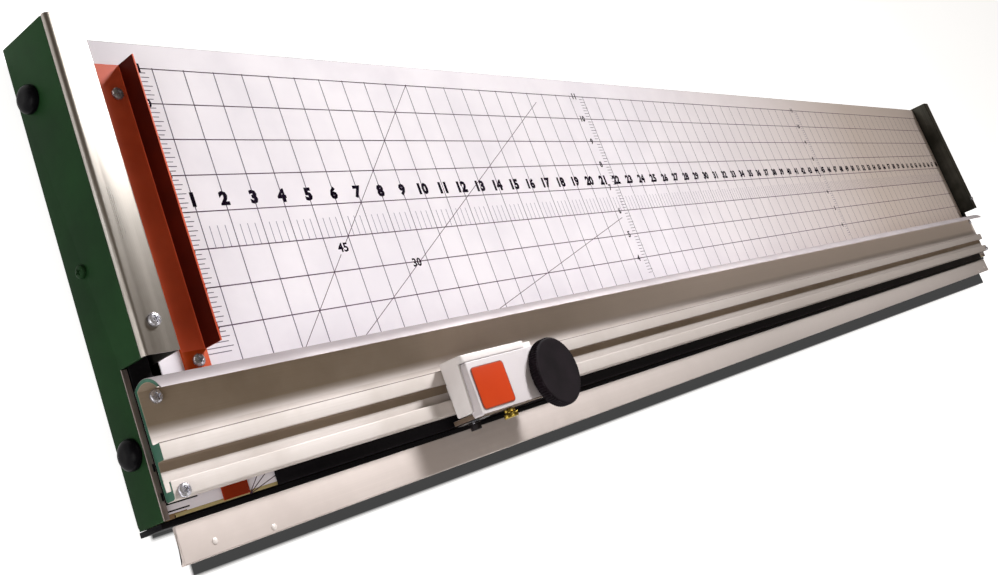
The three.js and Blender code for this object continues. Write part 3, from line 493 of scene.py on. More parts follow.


# Two tones in clouds, then drawn lines, a far colour and a fade that paint light and shadow, flecks, rubbed
# edges and dust over them, each mixed in by its own mask.
def makeFinish(name, spec):
    material = bpy.data.materials.new(name)
    material.use_nodes = True
    tree = material.node_tree
    tree.nodes.clear()
    clouds, fine = float(spec.get("cloudScale", 14)), float(spec.get("skinScale", 700))
    skin = useEffect(tree, "skin", Cloud_Scale=clouds, Skin_Scale=fine)
    clouds = ramp(tree, skin["Clouds"], 0.38, 0.62)
    colour = mixColour(tree, clouds, linear(spec["colour"]), linear(spec["tone"]))
    rough = calc(tree, "MULTIPLY_ADD", clouds, 0.08, spec["roughness"] - 0.04)
    height, bumpSize = skin["Skin"], 0.00006 * spec.get("skin", 0)
    if "lines" in spec:
        drawn = useEffect(tree, "drawn", Stretch=spec["stretch"])
        mean = calc(tree, "MULTIPLY_ADD", drawn["Bands"], 0.5, times(tree, drawn["Lines"], 0.5))
        lines = ramp(tree, mean, 0.38, 0.62)
        colour = mixColour(tree, times(tree, lines, spec["lines"]), colour, linear(spec["tone"]))
        rough = calc(tree, "MULTIPLY_ADD", lines, 0.12, rough)
        height, bumpSize = drawn["Lines"], 0.00005 * spec["lineBump"]
    # The far colour paints the change of light along x toward the right end.
    if "far" in spec:
        along, across = addNode(tree, "SeparateXYZ", None, Vector=spotOf(tree)).outputs[:2]
        paintedFalloffColour, start, end = spec["far"]
        colour = mixColour(tree, ramp(tree, along, start, end), colour, linear(paintedFalloffColour))
    # The fade paints a shadow's soft edge: the plain metal's colours on one side, this finish's painted shade
    # on the other.
    if "fade" in spec:
        plain, plainFar, low, high = spec["fade"]
        before = mixColour(tree, ramp(tree, along, start, end), linear(plain), linear(plainFar))
        colour = mixColour(tree, ramp(tree, across, low, high), before, colour)
    if "flecks" in spec:
        flecks = useEffect(tree, "flecks", Scale=float(spec["fleckScale"]))["Flecks"]
        share = times(tree, flecks, spec.get("fleckShare", 0.55))
        colour = mixColour(tree, share, colour, linear(spec["flecks"]))
    if "rub" in spec:
        edge = addNode(tree, "Attribute", {"attribute_name": "worn"}).outputs["Fac"]
        rubbed = useEffect(tree, "rub", Worn=edge, Amount=spec["rubAmount"])["Rubbed"]
        colour = mixColour(tree, rubbed, colour, linear(spec["rub"]))
    if "dust" in spec:
        dust = useEffect(tree, "dust", Amount=spec["dust"])["Dust"]
        colour = mixColour(tree, dust, colour, linear((196, 188, 180)))
        rough = calc(tree, "ADD", rough, times(tree, dust, 0.6))
    bump = addNode(tree, "Bump", None, Height=height, Distance=bumpSize, Strength=1.0)
    shader = addNode(tree, "BsdfPrincipled", None, Base_Color=colour, Roughness=rough,
                     Metallic=spec.get("metallic", 0.0), Specular_IOR_Level=spec.get("specular", 0.4),
                     Normal=bump.outputs[0])
    tree.links.new(shader.outputs[0], addNode(tree, "OutputMaterial").inputs[0])
    return material


materials = {name: makeFinish(name, spec) for name, spec in finishes.items()}
print("finishes made")

# Work board: a pale laminate sheet over chipboard, with a slot for a lift arm at each end.
board = {"depth": 297.2, "sheet": 0.9, "under": -20.8, "backing": 0.6, "coreFront": 0.15, "trimReach": 4.1,
         "armSlot": 26.4, "slotFront": 7.9, "slotBack": 87.6, "coverInset": 24.8, "stripBack": 2.4,
         "notchBack": 2.9, "notchLength": 13.1, "edge": 0.12, "slit": ((4.4, 19), (3.9, 4.7), (-0.3, 0.02))}


# The outline steps back at the front ends, round the arm slots and under the caps. The core's has no notches.
def makeBoard():
    k = named(board)
    land, arm, cover = half - k.trimReach, half - k.armSlot, half - k.coverInset
    notch = land - k.notchLength
    right = [(notch, k.stripBack), (notch, k.notchBack), (land, k.notchBack), (land, k.slotFront),
             (arm, k.slotFront), (arm, k.slotBack), (cover, k.slotBack), (cover, k.depth)]
    outline = np.array(right + [(-x, y) for x, y in right[::-1]])
    sheet = prism(outline, 0, (-k.sheet, 0), "z", k.edge)
    addPiece("boardLaminate", [sheet], ["laminate"], "base", ["work_board"])
    core = outline.copy()
    core[[2, -3], 1] = k.coreFront
    core = np.delete(core, [0, 1, -2, -1], 0)
    backing = k.under + k.backing
    chips = prism(core, 0, (backing, -k.sheet), "z", 0)
    under = finishedIn(prism(core, 0, (k.under, backing), "z", 0), 1)
    slotWalls = [1, 2, 3, 7, 8, 9]
    chips["kinds"] = np.where(np.isin(np.arange(len(chips["faces"])), slotWalls), 2, 0)
    addPiece("boardCore", [chips, under], ["chipboard", "underSheet", "blackPaint"], "base")
    (x0, x1), (y0, y1), (z0, z1) = k.slit
    slits = bars([[half - x1, y0, z0], [x0 - half, y0, z0]], [[half - x0, y1, z1], [x1 - half, y1, z1]])
    addPiece("boardSlits", [slits], ["blackPaint"], "base")


# Ruled print on the board, in inches from the ruler's zero at the squaring guide and back from the cut line.
ruling = {"lineWidth": 0.03, "thinWidth": 0.021, "proud": 0.0016, "lastColumn": 68, "rows": (4, 11),
          "rightEnd": 68.3, "front": 0.12, "top": 11.03, "tickBand": (6.0, 6.6), "tickFrom": 1.25,
          "numberFoot": 7.135, "numberHeight": 0.40, "wide": 1.12, "bold": 0.06, "farFrom": 22,
          "farHeight": 0.93, "farShift": (0.04, 0.03, 0.16)}
sideFigures = {"from": 3.375, "drop": 0.12, "height": 0.26, "bold": 0.04}
angleFigures = {"height": 0.28, "bold": 0.03, "lineStart": 0.02}
sideRulers = [{"from": 0.0, "short": 0.755, "quarter": 0.83, "half": 0.86, "numbersAt": 0.5, "pale": 0},
              {"from": 21.67, "short": 21.93, "quarter": 22.0, "half": 22.05, "numbersAt": 21.35, "pale": 0},
              {"from": 44.65, "short": 44.88, "quarter": 44.95, "half": 45.0, "numbersAt": 44.4, "pale": 1}]
angleLines = [{"degrees": 45, "length": 15.6, "gap": (7.75, 8.2), "label": "45", "labelAt": (5.64, 5.54)},
              {"degrees": 30, "length": 21.3, "gap": (10.1, 10.1), "label": "30", "labelAt": (8.5, 4.84)},
              {"degrees": 15, "length": 22.2, "gap": (22.1, 22.2), "label": "", "labelAt": (0, 0)}]


# Flat bars of ink in inches, from arrays or numbers, as closed boxes that stand a hair over the laminate.
def printed(x0, x1, y0, y1):
    spans = np.broadcast_arrays(*[np.atleast_1d(np.asarray(v, float)) for v in (x0, x1, y0, y1)])
    ink = ruling["proud"]
    low = np.stack([spans[0], spans[2], np.full(len(spans[0]), -ink / 2)], -1)
    high = np.stack([spans[1], spans[3], np.full(len(spans[0]), ink)], -1)
    return low * inch, high * inch


# Bars of ink counted from the ruler's zero.
def ruled(x0, x1, y0, y1):
    low, high = printed(x0, x1, y0, y1)
    shift = [trimmer["rulerZero"], 0, 0]
    return bars(low + shift, high + shift)


figureCache = {}


# A number as a thin solid, scaled to a height, its foot and middle at the given place in inches.
def figureShape(text, at, height, bold):
    if (text, bold) not in figureCache:
        curve = bpy.data.curves.new("figure", "FONT")
        curve.body, curve.align_x, curve.resolution_u = text, "CENTER", 2
        curve.extrude, curve.offset = 0.05, bold
        source = place("figure", curve)
        mesh = bpy.data.meshes.new_from_object(source)
        welded = bmesh.new()
        welded.from_mesh(mesh)
        bmesh.ops.remove_doubles(welded, verts=welded.verts, dist=1e-5)
        welded.to_mesh(mesh)
        welded.free()
        points = np.empty(len(mesh.vertices) * 3)
        mesh.vertices.foreach_get("co", points)
        figureCache[text, bold] = (points.reshape(-1, 3), [list(face.vertices) for face in mesh.polygons])
        bpy.data.objects.remove(source)
        bpy.data.meshes.remove(mesh)
    points, faces = figureCache[text, bold]
    low, high = points.min(0), points.max(0)
    scale = height / (high[1] - low[1])
    flat = (points - [(low[0] + high[0]) / 2, low[1], low[2]]) * [scale * ruling["wide"], scale, 0]
    flat[:, 2] = np.where(points[:, 2] > 0, ruling["proud"], -ruling["proud"] / 2)
    return shapeOf((flat + [at[0], at[1], 0]) * inch + [trimmer["rulerZero"], 0, 0], faces)


# Lines stand at whole inches, ticks at quarters and eighths; a half inch has the longest tick. Angle lines
# start at the ruler's zero and are turned by their degrees.
def makeRuling():
    k = named(ruling)
    width, thin = k.lineWidth / 2, k.thinWidth / 2
    first, last = k.rows
    rows = np.arange(first, last + 1)
    columns = np.arange(1, k.lastColumn + 1)
    across = [ruled(0, k.rightEnd, rows - width, rows + width)]
    inked, figures = [ruled(columns - width, columns + width, k.front, k.top)], []
    quarters = np.arange(k.tickFrom, k.lastColumn, 0.25)
    quarters = quarters[quarters % 1 > 0]
    pale = [ruled(quarters - thin, quarters + thin, *k.tickBand)]
    for side in sideRulers:
        eighths = np.arange(sideFigures["from"], last + 0.01, 0.125)
        ends = np.select([eighths % 0.5 == 0, eighths % 0.25 == 0], [side["half"], side["quarter"]],
                         side["short"])
        (pale if side["pale"] else inked).append(ruled(side["from"], ends, eighths - thin, eighths + thin))
        for n in rows:
            foot = (side["numbersAt"], n - sideFigures["drop"])
            figures.append(figureShape(str(n), foot, sideFigures["height"], sideFigures["bold"]))
    start, step, most = k.farShift
    for n in columns:
        past = n - k.farFrom
        shift = 0.0 if past < 0 else min(start + step * past, most)
        size = k.numberHeight * (1 if past < 0 else k.farHeight)
        figures.append(figureShape(str(n), (n + shift, k.numberFoot), size, k.bold))
    f = named(angleFigures)
    for line in angleLines:
        spans = [(f.lineStart, line["gap"][0]), (line["gap"][1], line["length"])]
        low, high = printed([a for a, b in spans], [b for a, b in spans], -thin, thin)
        across.append(bars(low, high, np.radians(line["degrees"]), (trimmer["rulerZero"], 0)))
        if line["label"]:
            figures.append(figureShape(line["label"], line["labelAt"], f.height, f.bold))
    for name, shapes, finish in (("ruledLines", inked, "ink"), ("ruledRows", across, "rowInk"),
                                 ("ruledTicks", pale, "paleInk"), ("ruledNumbers", figures, "numberInk")):
        addPiece(name, shapes, [finish], "base", sharpAbove=20)


# Cutting edge, the channels that close the front and back, and the apron before the cut.
edgeStrip = {"back": 2.3, "height": 4, "endInset": 8.6, "shown": 0.3, "edge": 0.1, "inset": 0.05,
             "drop": 0.03}
frontBar = {"front": -3.5, "back": -0.3, "top": -3.0, "ledgeTop": -5.3, "ledgeReach": 23.4, "sheet": 1.8,
            "foot": 20, "footInset": 27.2}
boardScrews = {"x": (-750, -450, -150, 150, 450, 750), "y": (11, 286), "proud": 0.02, "length": 6}
backBar = {"sheet": 1.8, "top": -3, "low": -20.8, "bend": -19, "foot": 24, "webInset": 2.8, "footInset": 27.2}
apron = {"front": -25.7, "back": -3.8, "top": -2.5, "sheet": 2.5, "lipDrop": 4, "lipSheet": 2,
         "endInset": 7.6, "nose": 0.9, "corner": 0.4, "rivets": ((30.3, -18.4), (72.9, -22.2))}
rivet = {"radius": 1.9, "shank": 0.6, "length": 2, "gap": 0.02, "skirt": 0.15, "dome": 0.45}


# Each bar is as long as the trimmer less its inset at both ends. A rivet is a quarter round turned about z.
def makeFront():
    e = named(edgeStrip)
    reach = half - e.endInset
    top = box((-reach, reach), (e.shown, e.back), (-e.height / 2, 0), e.edge)
    # The strip's body below its brass top is black: painted shade on its face that looks forward.
    body = box((-reach, reach), (0, e.back - e.inset), (-e.height, -e.drop), e.edge)
    addPiece("cuttingEdge", [top, finishedIn(body, 1)], ["edgeBrass", "blackPaint"], "base",
             ["cutting_edge_strip"])
    f, under = named(frontBar), trimmer["under"]
    web = box((-half, half), (f.front, f.back), (under, f.top), 0.35)
    span = (f.footInset - half, half - f.footInset)
    ledge = box(span, (-f.ledgeReach, f.front + 0.5), (f.ledgeTop - f.sheet, f.ledgeTop))
    foot = box(span, (f.back - 1, f.foot), (under, under + f.sheet))
    addPiece("frontChannel", [web, ledge, foot], ["blackPaint"], "base")
    b, rear = named(backBar), trimmer["rear"]
    span, deep = (b.footInset - half, half - b.footInset), (rear - b.sheet, rear)
    shapes = [box((b.webInset - half, half - b.webInset), deep, (b.low, b.top), 0.35),
              box(span, deep, (under, b.bend), 0.35),
              box(span, (rear - b.foot, rear - 0.4), (under, under + b.sheet))]
    addPiece("rearChannel", shapes, ["blackPaint"], "base")
    a = named(apron)
    lip, inner, low = a.front + a.lipSheet, a.top - a.sheet, a.top - a.lipDrop
    corners = [(a.front, low), (lip, low), (lip, inner), (a.back, inner), (a.back, a.top), (a.front, a.top)]
    q = a.corner
    shape = prism(corners, [q, q, q * 1.5, q, q, a.nose], (a.endInset - half, half - a.endInset), "x", q)
    addPiece("frontApron", [shape], ["apronAluminium"], "base")
    turn = np.linspace(0, np.pi / 2, 9)[:-1]
    v = named(rivet)
    r, shank = v.radius, v.radius * v.shank
    dome = np.stack([r * np.cos(turn), v.skirt + v.dome * np.sin(turn)], -1)
    stem = [[0, -v.length], [shank, -v.length], [shank, v.gap], [r, v.gap]]
    profile = np.concatenate([stem, dome, [[0, v.skirt + v.dome]]])
    rivets = [spin(profile, "z", (side * (half - x), y, a.top), 32) for side in (-1, 1) for x, y in a.rivets]
    addPiece("apronRivets", rivets, ["rivetSteel"], "base")
    s = named(boardScrews)
    screws = [screwShape("-z", (x, y, under - s.proud), s.length, turn=x) for x in s.x for y in s.y]
    addPiece("undersideScrews", screws, ["blackOxide"], "base")


# Pan head screws with a pressed cross; the place is the middle of the head's underside.
panHead = {"radius": 4.1, "height": 2.6, "shank": 1.8, "crossArm": 2.2, "crossWidth": 0.45, "crossDepth": 1.3,
           "rim": 0.42, "curve": 3.2, "sides": 48}


# A grid of rings round the screw's axis. Over the rim the head rises as the root of 1 minus a power of the
# radius, and the cross is pressed in where a point lies near either of two lines through the middle.
def screwShape(axis, at, length, shank=None, turn=0.3):
    p = named(panHead)
    r, h, s, sides = p.radius, p.height, shank or p.shank, p.sides
    radii = np.concatenate([np.linspace(1, 0.86, 5), np.linspace(0.8, 0.04, 18)]) * r
    rise = h * (p.rim + (1 - p.rim) * np.sqrt(np.clip(1 - (radii / r) ** p.curve, 0, 1)))
    angle = np.linspace(0, 2 * np.pi, sides, endpoint=False)
    low = np.array([[s * 0.5, -length], [s, -length + 0.6], [s, -0.01], [r * 0.95, 0], [r, 0.2]])
    rings = np.concatenate([low, np.stack([radii, rise], -1)])
    height = np.broadcast_to(rings[:, 1:], (len(rings), sides))
    grid = np.stack([rings[:, :1] * np.cos(angle), rings[:, :1] * np.sin(angle), height], -1)
    along = np.abs(grid[..., 0] * np.cos(turn) + grid[..., 1] * np.sin(turn))
    across = np.abs(grid[..., 1] * np.cos(turn) - grid[..., 0] * np.sin(turn))
    near = np.clip((p.crossWidth - np.minimum(along, across)) / 0.25 + 0.5, 0, 1)
    inside = near * np.clip((p.crossArm - np.maximum(along, across)) / 0.3, 0, 1)
    grid[len(low):, :, 2] -= (inside * p.crossDepth)[len(low):]
    points = np.concatenate([grid.reshape(-1, 3), [[0, 0, -length], [0, 0, h - p.crossDepth]]])
    faces, last = gridFaces(len(rings), sides), len(rings) - 1
    faces += fanFaces(len(rings) * sides, 0, sides) + fanFaces(len(rings) * sides + 1, last, sides)
    return shapeOf(lay(points, axis, at), faces)


# Each end of the trimmer: green plate, stainless cap and trim, screws, bumpers, and feet below.
endPlate = {"wall": 2.5, "rise": 20.6, "notch": 86.4, "front": 0.05, "frontCorner": 3, "foot": 24.4,
            "footSheet": 2.5, "footInset": 0.4, "footFront": 0.1, "footRearInset": 4}
endCap = {"width": 24.5, "sheet": 1.2, "top": 24.9, "skirt": 4, "innerDrop": 5, "bend": 3,
          "finish": {"left": "stainless", "right": "shadedStainless"}}
edgeTrim = {"reach": 3.8, "sheet": 0.8, "bottom": 0.3, "legDrop": 9, "front": 0.2, "legFront": 8.2,
            "slits": (29.3, 12.9), "slitFrom": 1.7, "slitTo": 0.3, "slitHalf": 2.2, "slitProud": 0.04}
bumper = {"radius": 9, "height": 6, "z": -9.7, "places": {"front": 40.6, "rear": 259}, "base": 0.97,
          "rim": 0.3, "flat": 0.35, "side": 1.6}
capScrew = {"inset": 11.9, "y": 105.4, "length": 3.4}
plateScrew = {"y": 148.3, "z": -7.9, "length": 3.2}


# A span along x between two distances in from the trimmer's end; side is -1 on the left and 1 on the right.
def spanFrom(side, near, far):
    return tuple(sorted((side * (half - near), side * (half - far))))


# The plate and the cap are sections with rounded corners. A bumper's dome is a quarter ellipse turned round.
def makeEnd(side, name):
    e, under, rear = named(endPlate), trimmer["under"], trimmer["rear"]
    corners = [(e.front, under), (rear, under), (rear, e.rise), (e.notch, e.rise), (e.notch, 0), (e.front, 0)]
    wall = prism(corners, [e.frontCorner, 1, 1.5, 1.5, 1, 0.8], spanFrom(side, 0, e.wall), "x", 0.5)
    foot = box(spanFrom(side, e.footInset, e.wall + e.foot), (e.footFront, rear - e.footRearInset),
               (under, under + e.footSheet), 0.4)
    addPiece(name + "EndPlate", [wall, foot], ["greenPaint"], "base")
    c = named(endCap)
    w, s, top, b = c.width, c.sheet, c.top, c.bend
    corners = [(0, top - c.skirt), (0, top), (w, top), (w, -c.innerDrop), (w - s, -c.innerDrop),
               (w - s, top - s), (s, top - s), (s, top - c.skirt)]
    profile, worn = roundCorners(corners, [0.3, b, 1.6, 0.3, 0.3, 0.5, b - s, 0.3], 6)
    profile = profile * [-side, 1] + [side * half, 0]
    shape = carry(profile, worn, (e.notch, rear), "y", 0.25)
    addPiece(name + "EndCap", [shape], [c.finish[name]], "base")
    t = named(edgeTrim)
    top = t.bottom + t.sheet
    cover = box(spanFrom(side, 0, t.reach), (t.front, e.notch - gap), (t.bottom, top), 0.25, "y")
    span = spanFrom(side, t.reach - t.sheet, t.reach)
    leg = box(span, (t.legFront, e.notch - 0.5), (-t.legDrop, t.bottom + 0.3), 0.2, "y")
    span = spanFrom(side, t.reach - t.slitFrom, t.reach - t.slitTo)
    slits = [finishedIn(box(span, (y - t.slitHalf, y + t.slitHalf), (t.bottom, top + t.slitProud), 0.1), 1)
             for y in t.slits]
    addPiece(name + "EdgeTrim", [cover, leg] + slits, ["trimSteel", "blackPaint"], "base")
    outward = "-x" if side < 0 else "x"
    s = named(capScrew)
    screw = screwShape("z", (side * (half - s.inset), s.y, c.top + gap), s.length)
    addPiece(name + "CapScrew", [screw], ["steel"], "base")
    s = named(plateScrew)
    screw = screwShape(outward, (side * (half + gap), s.y, s.z), s.length)
    addPiece(name + "PlateScrew", [screw], ["greenPaint"], "base")
    turn = np.linspace(0, np.pi / 2, 10)
    b = named(bumper)
    r, h, f = b.radius, b.height, b.flat
    dome = np.stack([f * r + (1 - f) * r * np.cos(turn), b.side + (h - b.side) * np.sin(turn)], -1)
    flat = [[0.3 * r, h], [0.15 * r, h], [0, h]]
    profile = np.concatenate([[[0, 0], [r * b.base, 0], [r, b.rim]], dome, flat])
    for end, y in b.places.items():
        shape = spin(profile, outward, (side * (half + gap), y, b.z), 56)
        addPiece(name + end.capitalize() + "Bumper", [shape], ["rubber"], "base")


feet = {"radius": 11, "height": 3.7, "taper": 0.94, "mouth": 0.42, "hollow": 0.38, "depth": 1.6,
        "places": {"front_left": (-900.4, 24), "rear_left": (-900.4, 273.3), "front_middle": (0, 8.3),
                   "rear_middle": (0, 287.3), "front_right": (900.4, 24), "rear_right": (900.4, 273.3)}}


# A foot is a half section turned round, with a hollow in its underside.
def makeFeet():
    f = named(feet)
    r, h = f.radius, f.height
    hollow, mouth, floor = r * f.hollow, r * f.mouth, h - f.depth
    corners = [(0, 0), (r, 0), (r * f.taper, h), (mouth, h), (hollow, floor), (0, floor)]
    section = roundSection(corners, [0, 0.3, 0.9, 0.5, 0.3, 0])
    for name, (x, y) in f.places.items():
        row, spot = name.split("_")
        shape = spin(section, "-z", (x, y, trimmer["under"] - gap), 48)
        addPiece(row + spot.capitalize() + "Foot", [shape], ["rubber"], "base")


# Squaring guide: a red flange on the board and a wall that stands along its right edge.
guide = {"width": 19, "sheet": 1.2, "height": 17, "bottom": 0.3, "front": 1, "wallFront": 89.4, "rear": 280,
         "darkTo": 40, "screwInset": 8.9, "bite": 12, "screws": {"front": 83.1, "rear": 258.8}}


# Behind wallFront the flange's section gains a wall, whose sides take a painted shade, while its top edge and
# the flange at its foot take a painted highlight; the flange's front part, under the rail, takes a painted
# shadow.
def makeGuide():
    g = named(guide)
    right, left, low = trimmer["rulerZero"], trimmer["rulerZero"] - g.width, g.bottom
    top, inner = low + g.sheet, right - g.sheet
    flat = roundCorners(rectangle(left, right, low, top), [0.2, 0.2, 0.3, 0.3])
    corners = [(left, low), (right, low), (right, g.height), (inner, g.height), (inner, top), (left, top)]
    bent = roundCorners(corners, [0.2, 0.9, 0.35, 0.35, 0.5, 0.3])
    heights = bent[0][:, 1]
    near, far = np.minimum(heights, np.roll(heights, -1)), np.maximum(heights, np.roll(heights, -1))
    standing = np.select([near > g.height - 0.4, far > top + 0.6, near > top - 0.01], [2, 1, 2], 0)
    shapes = [carry(*flat, (g.front, g.darkTo), "y", 0.25, capKind=3, edgeKinds=3),
              carry(*flat, (g.darkTo, g.wallFront + 0.3), "y", 0.25),
              carry(*bent, (g.wallFront, g.rear), "y", 0.25, edgeKinds=standing)]
    addPiece("squaringGuide", shapes, ["redPaint", "redShade", "redHighlight", "redUnderRailShade"], "base")
    for end, y in g.screws.items():
        screw = screwShape("z", (right - g.screwInset, y, top + gap), g.bite)
        addPiece(end + "GuideScrew", [screw], ["steel"], "base")


# Guide rail: one section with a front bar and its lip, a middle bar, a floor and a curved wall with a bead.
# Two points on the floor only mark where painted shade starts: in front of the middle bar, for its shadow,
# and behind it, for the wall's shadow.
rail = {"endInset": 3.8, "front": 8.4, "low": 1.8, "floor": 4.4, "top": 10.4, "frontSolid": 14.0,
        "lip": 19.0, "lipWall": 1.8, "midBar": (30.7, 40.9), "nose": 2.0, "hollow": 11.7, "wall": 2.5,
        "centre": (62.2, 11.9), "lipAngle": 68, "bead": 2.0, "grime": 25.2, "dullBack": 45, "dullReach": 11,
        "line": 0.4, "grimeDrop": 0.6, "slack": 0.05}
clamp = {"left": -831.64, "right": 880.4, "front": 0.1, "depth": 29, "low": 0.3, "top": 1.5}
liftArm = {"inset": 4.6, "width": 14.2, "front": 9, "low": -8, "top": 1.5, "eye": (259, -11.4),
           "eyeRadius": 8.5, "ahead": 24}
railScrew = {"front": (10.2, 12.2, 10.4), "rear": (14, 66.8, 4.4), "bite": 6, "shank": 2.1}


# Points on a circle between two angles.
def arc(centre, radius, start, end, count):
    angle = np.linspace(start, end, count)
    return np.stack([centre[0] + radius * np.cos(angle), centre[1] + radius * np.sin(angle)], -1)


# The curved wall is two arcs round one centre. The bead's circle touches the outer arc at the lip's angle and
# meets the inner arc where the law of cosines puts it, seen from that centre.
def railSection():
    k = named(rail)
    outer, inner, centre = k.hollow + k.wall, k.hollow, np.array(k.centre)
    lip = np.radians(k.lipAngle)
    start, floorStart = -np.arcsin((centre[1] - k.low) / outer), -np.arcsin((centre[1] - k.floor) / inner)
    beadAt = outer - k.bead
    beadCentre = centre + beadAt * np.array([np.cos(lip), np.sin(lip)])
    blend = np.arccos((beadAt ** 2 + inner ** 2 - k.bead ** 2) / (2 * beadAt * inner))
    meet = centre + inner * np.array([np.cos(lip - blend), np.sin(lip - blend)])
    beadEnd = np.arctan2(*(meet - beadCentre)[::-1])
    bead = arc(beadCentre, k.bead, lip, beadEnd, 12)[1:-1]
    outerWall = arc(centre, outer, start, lip, 26)
    innerWall = arc(centre, inner, lip - blend, floorStart, 24)
    curves = np.concatenate([outerWall, bead, innerWall])
    m0, m1 = k.midBar
    corners = [(k.dullBack, k.floor), (m1, k.floor), (m1, k.top), (m0, k.top), (m0, k.floor),
               (k.grime, k.floor), (k.frontSolid, k.floor), (k.frontSolid, k.top - k.lipWall),
               (k.lip, k.top - k.lipWall), (k.lip, k.top), (k.front, k.top), (k.front, k.low)]
    radii = [0, 0.8, 0.7, 0.7, 0.8, 0, 0.8, 0.5, 0.4, 0.5, k.nose, k.nose * 0.8]
    return roundCorners(np.concatenate([curves, corners]), np.concatenate([np.zeros(len(curves)), radii]), 5)


# A side of the section takes its finish from where its ends lie, and all but the plain one are painted shade:
# the floor and face in the middle bar's shadow, a dark line on the middle bar's rear edge, the floor in the
# wall's shadow, and the outer and inner arcs. A lift arm ends in an arc round its eye.
def makeRail():
    k = named(rail)
    reach = half - k.endInset
    profile, worn = railSection()
    away = np.hypot(*(profile - k.centre).T)
    near, far = np.minimum(away, np.roll(away, -1)), np.maximum(away, np.roll(away, -1))
    inner, outer = k.hollow, k.hollow + k.wall
    y, z = profile.T
    onOuter = (near > outer - k.slack) & (far < outer + k.slack)
    onInner = (near > inner - 2 * k.slack) & (far < inner + k.slack)
    behind = y > k.dullBack - k.slack
    flat = (y < k.centre[0] + k.dullReach) & (np.abs(z - k.floor) < 2 * k.slack)
    # Floor sides behind that point take the painted shadow of the wall.
    shadowedFloor = flat & behind & np.roll(behind, -1)
    # Sides on the middle bar's rear top edge take the painted dark line.
    edge = np.abs(profile - [k.midBar[1] - k.line, k.top - k.line]).max(1) < k.line + k.slack
    # Sides in the middle bar's painted shadow.
    shaded = (y > k.grime - k.slack) & (y < k.midBar[0] + 2 * k.slack)
    shaded = shaded & (z < k.top - k.grimeDrop) & (z > k.floor - 2 * k.slack)
    lies = [shaded & np.roll(shaded, -1), edge & np.roll(edge, -1), shadowedFloor, onOuter, onInner]
    kinds = np.select(lies, [5, 4, 3, 2, 3], 0)
    addPiece("guideRail", [carry(profile, worn, (-reach, reach), "x", 0.25, capKind=1, edgeKinds=kinds)],
             ["drawnAluminium", "railEnd", "railOuterShade", "railInnerShade", "railShadeLine", "railShade"], "rail",
             sharpAbove=30)
    c = named(clamp)
    strip = box((c.left, c.right), (c.front, c.front + c.depth), (c.low, c.top), 0.35)
    addPiece("clampStrip", [strip], ["blackPlastic"], "rail")
    m = named(liftArm)
    y, z = m.eye
    eye = arc((y, z), m.eyeRadius, -0.7 * np.pi, 0.45 * np.pi, 30)
    ahead = y - m.ahead
    corners = np.concatenate([[(m.front, m.top), (m.front, m.low), (ahead, m.low)], eye, [(ahead, m.top)]])
    section = roundCorners(corners, np.concatenate([[0.8, 0.8, 6], np.zeros(len(eye)), [6]]))
    for side, name in ((-1, "left"), (1, "right")):
        armShape = carry(*section, spanFrom(side, m.inset, m.inset + m.width), "x", 0.5)
        addPiece(name + "LiftArm", [armShape], ["blackPaint"], "rail")
        for end in ("front", "rear"):
            inset, y0, z0 = railScrew[end]
            length, shank = z0 + railScrew["bite"], railScrew["shank"]
            screw = screwShape("z", (side * (half - inset), y0, z0 + gap), length, shank)
            addPiece(f"{end}{name.capitalize()}RailScrew", [screw], ["steel"], "rail")


# Cutter head. Places along x count from the carriage's left end.
carriage = {"front": 4.3, "back": 45, "wall": 5.4, "length": 104, "wallLength": 78.7, "wallTop": 32.4,
            "wallStart": 0.25, "under": 12.2, "baseTop": 20.3, "top": 28.7, "cheek": 2.4, "frontTop": 26.6,
            "keelInset": 8, "keelFront": 21, "keelBack": 29.9, "keelLow": 4.9, "footTop": 8.1,
            "footReach": 6.3, "lap": 0.6, "rootDepth": 1}
block = {"start": 2.6, "length": 111.8, "depth": 39.2, "low": 23.4, "top": 33, "corner": 2.5, "nose": 15,
         "wall": 3.6, "wallLength": 76, "wallLow": 12.7, "holder": 38, "holderLow": 4.6,
         "wallFront": 0.25, "lap": 0.8}
label = {"inset": 2.9, "length": 38.6, "depth": 31.2, "frontInset": 3.3, "low": 33.3, "sheet": 0.4,
         "corner": 3, "rim": 0.7, "filmLow": 0.05, "rimDrop": 0.04}
springs = {"places": ((12, 24), (76, 24)), "radius": 3.9, "wire": 0.45, "low": 15.85, "high": 22.65,
           "turns": 4}


# A shape is moved from the carriage's left end to where the head starts.
def shifted(shape):
    return {**shape, "points": shape["points"] + [trimmer["headStart"], 0, 0]}


# A wire of round section along a helix: across it, one direction points outward and one along the axis.
def coil(at, radius, wire, low, high, turns, steps=128, sides=8):
    t = np.linspace(0, 1, steps)
    turn = t * turns * 2 * np.pi
    outward = np.stack([np.cos(turn), np.sin(turn), np.zeros(steps)], -1)
    middle = np.array([*at, low]) + radius * outward + np.stack([0 * t, 0 * t, (high - low) * t], -1)
    around = np.linspace(0, 2 * np.pi, sides, endpoint=False)
    c, s = np.cos(around)[None, :, None], np.sin(around)[None, :, None]
    points = middle[:, None] + wire * (c * outward[:, None] + s * np.array([0, 0, 1]))
    caps = [list(range(sides)), list(range((steps - 1) * sides, steps * sides))]
    return shapeOf(points, gridFaces(steps, sides) + caps)


